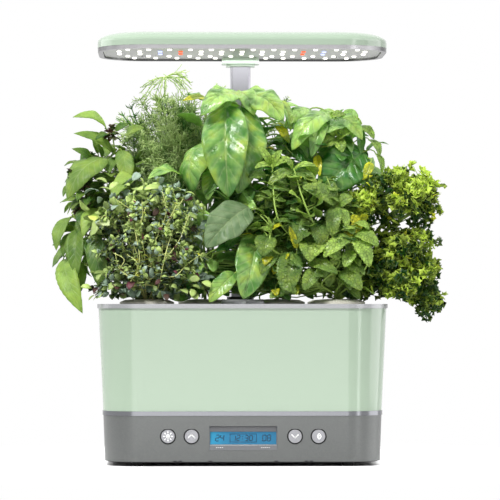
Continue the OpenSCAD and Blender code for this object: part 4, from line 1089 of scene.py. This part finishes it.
class GrowParsley(bpy.types.Operator):
    """Curly parsley: sprigs of small frilly leaflets on smooth stems"""
    bl_idname = "herb_garden.parsley"
    bl_label = "Grow parsley"

    def execute(self, context):
        garden = context.scene.herb_garden
        rng = np.random.default_rng(garden.sizes.seed + 6)
        x, y = PODS["parsley"]
        n = garden.sizes.parsley_sprigs
        clumps = [((147, -12, 246), (37, 36, 27), 0.34), ((112, -28, 238), (13, 18, 15), 0.07),
                  ((152, -4, 204), (33, 36, 15), 0.13), ((168, -16, 166), (17, 24, 26), 0.17),
                  ((136, -22, 178), (26, 28, 22), 0.2), ((113, -32, 172), (16, 26, 18), 0.1),
                  ((116, 30, 198), (26, 24, 32), 0.08), ((140, -34, 166), (24, 20, 6), 0.1)]
        ends, away = [], []
        for centre, radii, share in clumps:
            way = unit(rng.normal(0, 1, (round(n * share), 3)) + [0, -0.3, 0.1])
            ends.append(np.array(centre) + way * np.array(radii) * rng.uniform(0.2, 1, (len(way), 1)) ** 0.4)
            away.append(way)
        ends, away = np.concatenate(ends), np.concatenate(away)
        # Sprigs stay off the deck, except where they hang over the rim beside it
        keep = (ends[:, 2] > DECK_Z + 12) | (ends[:, 0] > 152)
        ends, away = ends[keep], away[keep]
        ends[:, 0] = np.minimum(ends[:, 0], 175)
        # Every fourth sprig ends a stem of its own, and the others branch off the stem that ends nearest
        main = np.arange(len(ends)) % 4 == 0
        paths = arching((x, y, DECK_Z - 14), ends[main], rng.uniform(-6, 16, main.sum()), 14, 40)
        near = np.argmin(np.linalg.norm(ends[~main][:, None] - ends[main][None], axis=2), axis=1)
        fork, end = paths[near, 8], ends[~main]
        branches = bent(fork, (fork + end + [0, 0, 6]) / 2, end, 8)
        looks = unit(away * 0.7 + [0, -0.35, 0.75] + rng.normal(0, 0.3, away.shape))
        # A sprig ends in six twigs, and each of these in a rosette of six leaflets
        hub, spread, facing, owner = rosettes(ends, looks, 6, (4.5, 10.5), 0.45, rng)
        twigs = np.stack([ends[owner], hub], 1)
        base, ahead, up, leaf_of = rosettes(hub, facing, 6, (0.8, 1.8), 0.45, rng)
        ahead = unit(ahead + 0.45 * spread[leaf_of])
        size = garden.sizes.frill * rng.uniform(0.6, 1.15, len(base))
        # Leaflets are lighter where their sprig reaches up, forwards and to the right, towards the lamps, as painted
        # light, and a few are yellow
        bright = np.clip(rng.normal(0.1, 0.22, len(ends)) + 0.8 * np.clip(away @ [0.35, -0.35, 0.75], 0, 1), 0, 1)
        # Painted shade: sprigs that end low are darker
        bright *= np.where(ends[:, 2] < 212, 0.72, 1.0)
        tone = (bright[owner] + rng.normal(0, 0.3, len(owner)))[leaf_of] + rng.normal(0.02, 0.2, len(base))
        tone = np.clip(0.5 + 1.5 * (tone - 0.48), 0, 0.88) ** 1.2
        tone[rng.uniform(0, 1, len(base)) < 0.02] = 0.97
        herbs = garden.herbs
        leaf = leaf_material("Curly parsley leaflet", herbs.parsley_light, herbs.parsley_dark, rough=0.38, thin=0.3,
                             grain_mm=1.0)
        stem = stem_material("Parsley stem", herbs.stem, herbs.stem)
        upper = base[:, 2] > 198
        for name, some, hidden in (("parsley_tops", upper, ["parsley"]), ("parsley_leaves", ~upper, [])):
            herb_piece(name, [(frills(base[some], ahead[some], up[some], size[some], tone[some], rng), 0)], [leaf],
                       hidden)
        herb_piece("parsley_stems", [
            (stem_bars(paths, 1.2, 0.7, 6), 0), (stem_bars(branches, 0.6, 0.45, 5), 0),
            ({"points": carry(twigs, np.full(twigs.shape[:2], 0.35), 3), "tone": np.ones(len(twigs))}, 0)],
            [stem])
        return {"FINISHED"}


# ---- signs: flat strokes on a plane ----

def strips(paths, normal, width, raised, rows=2):
    """Flat strokes. Each path is carried as a bar of rectangular section: width across it in the plane whose
    normal is given, and raised along that normal."""
    p = []
    for path in np.asarray(paths, float):
        far = walked(path)
        p.append(points_at(path, far, np.linspace(0, far[-1], rows)))
    p = np.array(p)
    ahead = unit(np.gradient(p, axis=1))
    side = unit(np.cross(ahead, np.broadcast_to(normal, p.shape)))
    corners = np.array([[-1, 0], [1, 0], [1, 1], [-1, 1]]) * [width / 2, raised]
    ring = side[:, :, None] * corners[:, :1] + np.asarray(normal, float) * corners[:, 1:]
    return {"points": p[:, :, None] + ring, "tone": np.ones(len(p))}


def on_plane(origin, right, up):
    """Turns a plane's own coordinates into the garden's."""
    return lambda points: [np.array(origin) + a * np.array(right) + b * np.array(up) for a, b in points]


SEGMENTS = {"a": ((0, 1), (1, 1)), "b": ((1, 0.5), (1, 1)), "c": ((1, 0), (1, 0.5)), "d": ((0, 0), (1, 0)),
            "e": ((0, 0), (0, 0.5)), "f": ((0, 0.5), (0, 1)), "g": ((0, 0.5), (1, 0.5))}
DIGITS = {"0": "abcdef", "1": "bc", "2": "abged", "3": "abgcd", "4": "fgbc", "8": "abcdefg"}
# Groups of digits on the screen: the number, the place of its lower left corner, a digit's width and height, and
# the step from one digit to the next (mm)
READINGS = (("24", -25.2, 3.2, 3.0, 5.4, 4.3), ("08", 17.4, 3.2, 3.0, 5.4, 4.3),
            ("12", -9.8, 3.5, 2.6, 4.6, 3.9), ("30", 1.6, 3.5, 2.6, 4.6, 3.9))
FACE_LEAN = math.radians(9.5)     # the display leans back by this angle
LENS_T = 1.2                      # thickness of its lens (mm)
FRAME_PROUD = 0.35                # the frame round the lens stands this far in front of it (mm)


def digit(number, x, y, width, height, slant=0.08, gap=0.1):
    """Strokes of a seven-segment digit whose lower left corner is at (x, y). It leans by slant, and each stroke is
    short by the share gap at both ends."""
    strokes = []
    for key in DIGITS[number]:
        first, last = np.array(SEGMENTS[key]) * [width, height]
        first, last = first + (last - first) * gap, last + (first - last) * gap
        strokes.append([(x + q[0] + slant * q[1], y + q[1]) for q in (first, last)])
    return strokes


class FinishScreen(bpy.types.Operator):
    """Screen: dark segments on the lens, and small plain marks under it"""
    bl_idname = "herb_garden.screen"
    bl_label = "Finish screen"

    def execute(self, context):
        body = context.scene.herb_garden.body
        low, high = (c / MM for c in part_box("display_lens"))
        lens_h = (high[2] - low[2] - LENS_T * math.sin(FACE_LEAN)) / math.cos(FACE_LEAN)
        foot = (0, low[1], high[2] - lens_h * math.cos(FACE_LEAN))
        up, out = (0, math.sin(FACE_LEAN), math.cos(FACE_LEAN)), (0, -math.cos(FACE_LEAN), math.sin(FACE_LEAN))
        plane = on_plane(foot, (1, 0, 0), up)
        wide = [stroke for text, x, y, width, height, step in READINGS for k, number in enumerate(text)
                for stroke in digit(number, x + k * step, y, width, height)]
        corners = [(-12, 2.2), (12, 2.2), (12, 9.5), (-12, 9.5)]      # the box round the clock in the middle
        thin = list(zip(corners, corners[1:] + corners[:1]))
        dots = [[(-0.9, y), (-0.2, y)] for y in (4.9, 7.0)]
        # Liquid crystal that is switched on: a blue that is all but black on the lit screen
        ink, _, _ = new_surface("Liquid-crystal segment", body.digits, Roughness=0.35)
        segments = make_mesh("screen_segments", [(strips([plane(s) for s in strokes], out, width, 0.05), 0)
                                                 for strokes, width in ((wide, 0.72), (thin, 0.42), (dots, 0.7))],
                             [ink])
        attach(segments, "base")
        frame_plane = on_plane(np.array(foot) + FRAME_PROUD * np.array(out), (1, 0, 0), up)
        dashes = [[(x, -2.9), (x + 1.1, -2.9)] for x in (-24.6, -22.9, -21.2, -19.5, 16.2, 17.9, 19.6, 21.3, 23.0)]
        edge = [[(-30.3, -0.6), (30.3, -0.6)]]
        print_ink, _, _ = new_surface("White printing ink", body.icon, Roughness=0.5)
        marks = make_mesh("screen_marks", [(strips([frame_plane(s) for s in strokes], out, width, 0.04), 0)
                                           for strokes, width in ((dashes, 0.55), (edge, 0.22))], [print_ink])
        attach(marks, "base")
        return {"FINISHED"}


SIGN_POINTS = 25      # points of a curved stroke
# The black ring round a cap, painted shade in the gap round it: its radius, width and height, and how far behind the
# cap's front it starts (mm)
SHADE_RING_R, SHADE_RING_W, SHADE_RING_H, SHADE_RING_BACK = 6.75, 1.1, 0.95, 1.4


def circle(x, y, r, start=0.0, turn=2 * math.pi):
    """Points of an arc round (x, y), from the angle start over the angle turn."""
    return [(x + r * math.cos(a), y + r * math.sin(a)) for a in np.linspace(start, start + turn, SIGN_POINTS)]


def leaf_sign():
    """A drop whose stem curls in on itself: each side of it is a sine of the way up, to the power 0.8."""
    t = np.linspace(0, 1, SIGN_POINTS)
    left = [(-1.5 * math.sin(math.pi * x) ** 0.8 + 0.5, -2.6 + 5.0 * x) for x in t]
    right = [(1.7 * math.sin(math.pi * x) ** 0.8 + 0.5, -2.6 + 5.0 * x) for x in t]
    return [left, right, circle(0.6, -0.3, 0.75, 0.6, 4.6)]


class FinishButtons(bpy.types.Operator):
    """Buttons: the printed sign on each cap, and a black ring round it, painted shade in the gap between cap and face
    """
    bl_idname = "herb_garden.buttons"
    bl_label = "Finish buttons"

    def execute(self, context):
        # Screen-printed ink: white, satin and a little raised, with a faint painted glow though it is no lamp
        print_ink, _, _ = new_surface("White button ink with painted glow", context.scene.herb_garden.body.icon, Roughness=0.45,
                                      Emission_Strength=0.15)
        rays = [[(2.7 * math.cos(a), 2.7 * math.sin(a)), (4.5 * math.cos(a), 4.5 * math.sin(a))]
                for a in np.arange(8) * math.pi / 4]
        signs = {
            "light_button": (rays, [circle(0, 0, 0.95)], 1.9),
            "up_button": ([[(-3.2, -1.5), (0.3, 1.9)], [(-0.3, 1.9), (3.2, -1.5)]], [], 1),
            "down_button": ([[(-3.2, 1.6), (0.3, -1.8)], [(-0.3, -1.8), (3.2, 1.6)]], [], 1),
            "feed_button": ([], leaf_sign(), 0.85),
        }
        grooves = []
        for button, (straight, curved, bold) in signs.items():
            low, high = (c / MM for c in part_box(button))
            plane = on_plane(((low[0] + high[0]) / 2, low[1], (low[2] + high[2]) / 2), (1, 0, 0), (0, 0, 1))
            parts = [(strips([plane(s) for s in strokes], (0, -1, 0), width, 0.05, rows), 0)
                     for strokes, rows, width in ((straight, 2, 1.05), (curved, SIGN_POINTS, bold)) if strokes]
            grooves.append([point + [0, SHADE_RING_BACK, 0] for point in plane(circle(0, 0, SHADE_RING_R))])
            sign = make_mesh(f"{button}_sign", parts, [print_ink])
            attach(sign, button)
        # Painted shade: a black ring fills the gap round each cap
        shade_ring_finish = moulded("Black ring of painted shade", linear("0C0C0D"), 0.7, 0.8, 0.03)
        shade_rings = make_mesh("button_shade_rings", [(strips(grooves, (0, -1, 0), SHADE_RING_W, SHADE_RING_H, 49), 0)], [shade_ring_finish])
        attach(shade_rings, "base")
        return {"FINISHED"}


# ---- lead to the lamp ----

WIRE_R = 0.7          # radius of the lead (mm)
COIL_PITCH = 6.0      # height of a turn (mm)
TURN_STEPS = 14       # rings of a turn
# Each run of the coil: its name, the bodies that its two ends belong to, and the height of its upper end (mm), or
# None for the coil's own top
LEAD_RUNS = (("lower", "base", "outer_tube", 240.0), ("middle", "outer_tube", "inner_tube", 330.0),
             ("upper", "inner_tube", "lamp_head", None))


def coil(centre, reach, low, high, start):
    """A coiled lead from height low to height high: at height z its middle stands reach away from the centre, at the
    angle 2 pi (z - start) / pitch."""
    z = np.linspace(low, high, round((high - low) / COIL_PITCH * TURN_STEPS) + 1)
    angle = 2 * np.pi * (z - start) / COIL_PITCH
    out = np.stack([np.cos(angle), np.sin(angle), 0 * angle], 1)
    path = out * reach + np.stack([0 * z + centre[0], 0 * z + centre[1], z], 1)
    return {"points": carry(path[None], np.full((1, len(z)), WIRE_R), guide=out[None]), "tone": np.full(1, 0.5)}


class CoilLead(bpy.types.Operator):
    """Lead: the coil in the mast, in three runs, one above the other"""
    bl_idname = "herb_garden.lead"
    bl_label = "Coil lead"

    def execute(self, context):
        foot, top = (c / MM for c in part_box("lamp_lead"))
        centre, reach = (foot + top) / 2, (top[0] - foot[0]) / 2 - WIRE_R
        # PVC insulation: black, with the dull shine of a soft plastic
        insulation = moulded("Black PVC insulation", linear("131315"), 0.42, 0.8, 0.02)
        low = foot[2]
        for name, below, above, high in LEAD_RUNS:
            if high is None:
                high = top[2]
            run = make_mesh(f"lamp_lead_{name}", [(coil(centre, reach, low, high, foot[2]), 0)], [insulation])
            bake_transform(run)
            if name == "lower":
                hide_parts("lamp_lead")
            low = high
        return {"FINISHED"}


# ---- finishes of the solids ----

class FinishBody(bpy.types.Operator):
    """Tank, base, deck, mast and lamp: the finish of each solid"""
    bl_idname = "herb_garden.body"
    bl_label = "Finish body"

    def execute(self, context):
        body = context.scene.herb_garden.body
        for finish, *nodes in (
            # Injection-moulded ABS, polished mould: a deep even colour under a wet-looking gloss
            (moulded("Polished sage ABS", body.sage, 0.16, 9.0, 0.008, Coat_Weight=0.4, Coat_Roughness=0.06),
             "tank_shell", "lamp_shell"),
            # Paler than the shell, partly its own colour and partly painted light, so that it looks lit in the shade
            # under the lamp
            (moulded("Pale sage ABS with painted light", linear("E2F0E6"), 0.3, 5.0, 0.02), "lamp_collar"),
            # Lacquered ABS: satin, with a fine metallic glitter
            (flake_paint("Silver lacquer on ABS", body.silver, 0.38), "base_housing"),
            (flake_paint("Grey lacquer on the rim", body.rim, 0.35), "deck_rim"),
            # Chromed ABS: a bright strip that mirrors the room in soft bands
            (drawn_metal("Chromed ABS band", body.band, 0.2), "trim_band"),
            # ABS from textured moulds: dull, and a little uneven in its shine
            (moulded("Black ABS", linear("17181A"), 0.5, 1.2, 0.03),
             "base_plate", "mast_bush", "power_inlet", "tact_switches", "reservoir", "impeller", "pump_cover"),
            (moulded("Grey satin ABS", linear("8C8D8F"), 0.45, 1.5, 0.04), "grow_deck", "fill_lid", "mast_sleeve"),
            # Polypropylene: white and waxy, and light goes a little way into it
            (moulded("White polypropylene", linear("DAD8CF"), 0.4, 2.0, 0.03, Subsurface_Weight=0.1),
             *(f"grow_basket_{n}" for n in range(1, 7))),
            (moulded("White pod collar", linear("DDDACB"), 0.6, 0.8, 0.03),
             *(f"pod_collar_{n}" for n in range(1, 7))),
            # Aluminium and steel: fine lines, drawn along the tubes, that spread the light sideways
            (drawn_metal("Anodised aluminium tube", body.post, 0.34, 0.5), "mast_tube", "inner_tube"),
            (drawn_metal("Turned steel", linear("A9A9AC"), 0.3),
             "base_screws", "lamp_screws", "lid_pin", "impeller_pin", "pump_motor", "drive_magnet"),
            (drawn_metal("Cast aluminium", linear("96979A"), 0.45), "heat_sink"),
            # Moulded rubber: black and quite dull
            (moulded("Moulded rubber", linear("141414"), 0.8, 0.8, 0.05), "rubber_feet"),
            (flake_paint("Lacquered button cap", body.cap, 0.34),
             "light_button", "up_button", "down_button", "feed_button"),
            (self.bezel(body), "lamp_bezel"),
            # Solder mask: a thin even lacquer over the copper of a board
            (moulded("White solder mask", linear("A9AAA6"), 0.3, 1.0, 0.02, Metallic=0.35), "led_board"),
            (moulded("Green solder mask", linear("1C5B36"), 0.4, 1.0, 0.02), "control_board"),
            # Open sponge and foam: no shine, and cells that show as a rough grain
            (moulded("Peat sponge", linear("3A2A1B"), 0.95, 0.7, 0.6), "grow_sponges"),
            (moulded("Filter foam", linear("D9D6C6"), 0.9, 0.9, 0.5), "pump_filter"),
            (flake_paint("Grey lacquer round the screen", linear("77787B"), 0.3), "display_frame"),
            (self.screen(body), "display_lens", "display_module"),
            (lit("White light-emitting diode", (1.0, 0.97, 0.9), 2.6), "leds_white"),
            (lit("Red light-emitting diode", linear("FF5A2C"), 1.3), "leds_red"),
            (lit("Cool light-emitting diode", linear("B4BCFF"), 1.6), "leds_blue"),
        ):
            for name in nodes:
                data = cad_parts[name].data
                data.materials.clear()
                data.materials.append(finish)
        return {"FINISHED"}

    def bezel(self, body):
        """Grey lacquer, with painted shade on the bezel: darker where it turns under at the lamp's ends and back, from
        112 to 128 mm off the middle to both sides, and from 56 to 64 mm behind it."""
        material = flake_paint("Bezel lacquer with painted shade", body.bezel, 0.28)
        tree = material.node_tree
        coat = tree.nodes["Principled BSDF"].inputs["Base Color"]
        place = add_node(tree, "ShaderNodeSeparateXYZ", {0: here(tree)}).outputs
        end = ranged(tree, computed(tree, "ABSOLUTE", place["X"]), 0.112, 0.128)
        share = computed(tree, "MAXIMUM", end, ranged(tree, place["Y"], 0.056, 0.064))
        # Painted shade: the lacquer goes to dark grey at the ends and the back
        tree.links.new(mixed(tree, share, coat.links[0].from_socket, rgba(linear("4A4A4C"))), coat)
        return material

    def screen(self, body):
        """Lit screen: an even blue light behind glass, a little brighter over the first third from its left end."""
        material, tree, shader = new_surface("Backlit liquid crystal", body.screen, Roughness=0.25,
                                             Emission_Strength=0.2)
        x = add_node(tree, "ShaderNodeSeparateXYZ", {0: here(tree)}).outputs["X"]
        tint = mixed(tree, ranged(tree, x, -0.03, -0.012), rgba(linear("2688AE")), rgba(body.screen))
        tree.links.new(tint, shader.inputs["Base Color"])
        tree.links.new(tint, shader.inputs["Emission Color"])
        return material


# ---- stage ----

CAMERA_FAR = 2800         # distance of the camera (mm)
CAMERA_UP = 144.7         # height of the camera (mm)
CAMERA_TURN = -1.2        # it stands this far round the garden, a little to the left (degrees)
CAMERA_TILT = 91.0885     # its tilt, where 90 is level (degrees)
CAMERA_ASIDE = 0.16       # it looks this far to the right of the garden's middle (degrees)
CAMERA_LENS, CAMERA_SENSOR = 216, 36      # focal length and width of the picture (mm)
TABLE_R = 500             # radius of the table top (mm)
TABLE_FADE = (0.2, 0.42)  # from the first of these distances to the second the table fades out (m)
SHADE_HALVES = (("X", 126), ("Y", 76))    # half the width and depth of the shaded place under the base (mm)
SHADE_EDGE = (-8, 2)      # its soft edge lies between these distances from its outline (mm)
TABLE_LIFT = 0.45         # the open table's own light, which makes it white for the camera


class SetStage(bpy.types.Operator):
    """Stage: a white table, soft studio lamps and the camera"""
    bl_idname = "herb_garden.stage"
    bl_label = "Set stage"

    def execute(self, context):
        scene = context.scene
        scene.view_settings.view_transform = "Standard"
        self.camera(scene)
        self.floor()
        self.world(scene)
        for name, place, aim, size, watts in (
            ("key_lamp", (-800, -1100, 1800), (0, 0, 240), (500, 500), 48),
            ("fill_lamp", (1300, -1000, 1000), (0, 0, 200), (900, 900), 4),
            ("front_lamp", (-350, -3000, -300), (0, 0, 100), (1600, 1400), 11.2),
            ("right_lamp", (1500, 100, 500), (0, 0, 220), (1200, 1200), 9),
            ("left_lamp", (-1400, 500, 700), (0, 0, 220), (1200, 1200), 7),
            ("right_strip", (1150, -1500, 100), (80, 0, 110), (260, 1500), 3.5),
            ("back_lamp", (300, 1100, 1100), (0, 0, 250), (900, 600), 16),
            ("grow_lamp", (0, -6, 379), (0, -6, 0), (240, 116), 0.17),
        ):
            data = bpy.data.lights.new(name, "AREA")
            data.shape, data.size, data.size_y, data.energy = "RECTANGLE", size[0] * MM, size[1] * MM, watts
            lamp = bpy.data.objects.new(name, data)
            lamp.location = [c * MM for c in place]
            way = Vector([a - b for a, b in zip(aim, place)])
            lamp.rotation_euler = way.to_track_quat("-Z", "Y").to_euler()
            # The back lamp has no mirror image, which would stand white on the lamp head's flat top
            lamp.visible_glossy = name != "back_lamp"
            scene.collection.objects.link(lamp)
        return {"FINISHED"}

    def camera(self, scene):
        """A long lens far away, a little to the left and below the middle of the garden's height."""
        data = bpy.data.cameras.new("camera")
        data.lens, data.sensor_width, data.clip_end = CAMERA_LENS, CAMERA_SENSOR, 20
        camera = bpy.data.objects.new("camera", data)
        turn = math.radians(CAMERA_TURN)
        camera.location = [CAMERA_FAR * MM * math.sin(turn), -CAMERA_FAR * MM * math.cos(turn), CAMERA_UP * MM]
        camera.rotation_euler = (math.radians(CAMERA_TILT), 0, turn - math.radians(CAMERA_ASIDE))
        scene.collection.objects.link(camera)
        scene.camera = camera

    def floor(self):
        """Round white table top that fades into the white background, so its edge doesn't show. It gives the camera
        light of its own, except under the base, where the shadow stays as dark as it is."""
        material, tree, shader = new_surface("White table", (0.9, 0.9, 0.9), Roughness=0.6)
        place = here(tree)
        far = add_node(tree, "ShaderNodeVectorMath", {0: place}, operation="LENGTH").outputs["Value"]
        apart = add_node(tree, "ShaderNodeVectorMath", {0: place}, operation="ABSOLUTE").outputs[0]
        apart = add_node(tree, "ShaderNodeSeparateXYZ", {0: apart}).outputs
        outside = [ranged(tree, apart[axis], *((half + edge) * MM for edge in SHADE_EDGE))
                   for axis, half in SHADE_HALVES]
        seen = add_node(tree, "ShaderNodeLightPath").outputs["Is Camera Ray"]
        lift = computed(tree, "MULTIPLY", computed(tree, "MAXIMUM", *outside), TABLE_LIFT)
        white = add_node(tree, "ShaderNodeEmission", {"Strength": computed(tree, "MULTIPLY", lift, seen)})
        white = add_node(tree, "ShaderNodeAddShader", {0: shader.outputs[0], 1: white.outputs[0]})
        fading(tree, ranged(tree, far, *TABLE_FADE, interpolation_type="SMOOTHSTEP"), white,
               add_node(tree, "ShaderNodeBsdfTransparent"))
        turn = np.linspace(0, 2 * np.pi, 64, endpoint=False)
        disc = np.stack([np.cos(turn), np.sin(turn), 0 * turn], 1) * (TABLE_R * MM)
        mesh = bpy.data.meshes.new("table_top")
        mesh.from_pydata(disc.tolist(), [], [list(range(len(disc)))])
        mesh.materials.append(material)
        table = bpy.data.objects.new("table_top", mesh)
        bpy.context.scene.collection.objects.link(table)

    def world(self, scene):
        """White background for the camera and for reflections, and a dimmer even light on everything else."""
        world = bpy.data.worlds.new("studio")
        world.use_nodes = True
        scene.world = world
        tree = world.node_tree
        path = add_node(tree, "ShaderNodeLightPath").outputs
        seen = computed(tree, "MAXIMUM", path["Is Camera Ray"], path["Is Glossy Ray"])
        seen = computed(tree, "MAXIMUM", seen, path["Is Transmission Ray"])
        background = tree.nodes["Background"]
        background.inputs["Color"].default_value = (1, 1, 1, 1)
        tree.links.new(ranged(tree, seen, 0.0, 1.0, 0.2, 1.0), background.inputs["Strength"])


# ---- panel ----

PIECES = (SetStage, FinishBody, FinishScreen, FinishButtons, CoilLead, GrowBasil, GrowThaiBasil, GrowMint, GrowThyme,
          GrowDill, GrowParsley)


class HerbGardenPanel(bpy.types.Panel):
    """Lists the garden's pieces and its settings"""
    bl_idname = "VIEW3D_PT_herb_garden"
    bl_label = "Herb Garden"
    bl_space_type = "VIEW_3D"
    bl_region_type = "UI"
    bl_category = "Herb Garden"

    def draw(self, context):
        garden = context.scene.herb_garden
        for piece in PIECES:
            self.layout.operator(piece.bl_idname)
        for group in (garden.body, garden.herbs, garden.sizes):
            box = self.layout.box()
            for name in group.bl_rna.properties.keys():
                if name not in ("rna_type", "name"):
                    box.prop(group, name)


CLASSES = (BodyFinish, HerbFinish, HerbSizes, GardenSettings, *PIECES, HerbGardenPanel)


def register():
    for cls in CLASSES:
        bpy.utils.register_class(cls)
    bpy.types.Scene.herb_garden = PointerProperty(type=GardenSettings)


def unregister():
    del bpy.types.Scene.herb_garden
    for cls in reversed(CLASSES):
        bpy.utils.unregister_class(cls)


def main():
    register()
    for piece in PIECES:
        getattr(bpy.ops.herb_garden, piece.bl_idname.split(".")[1])()
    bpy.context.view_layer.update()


if __name__ == "__main__":
    main()
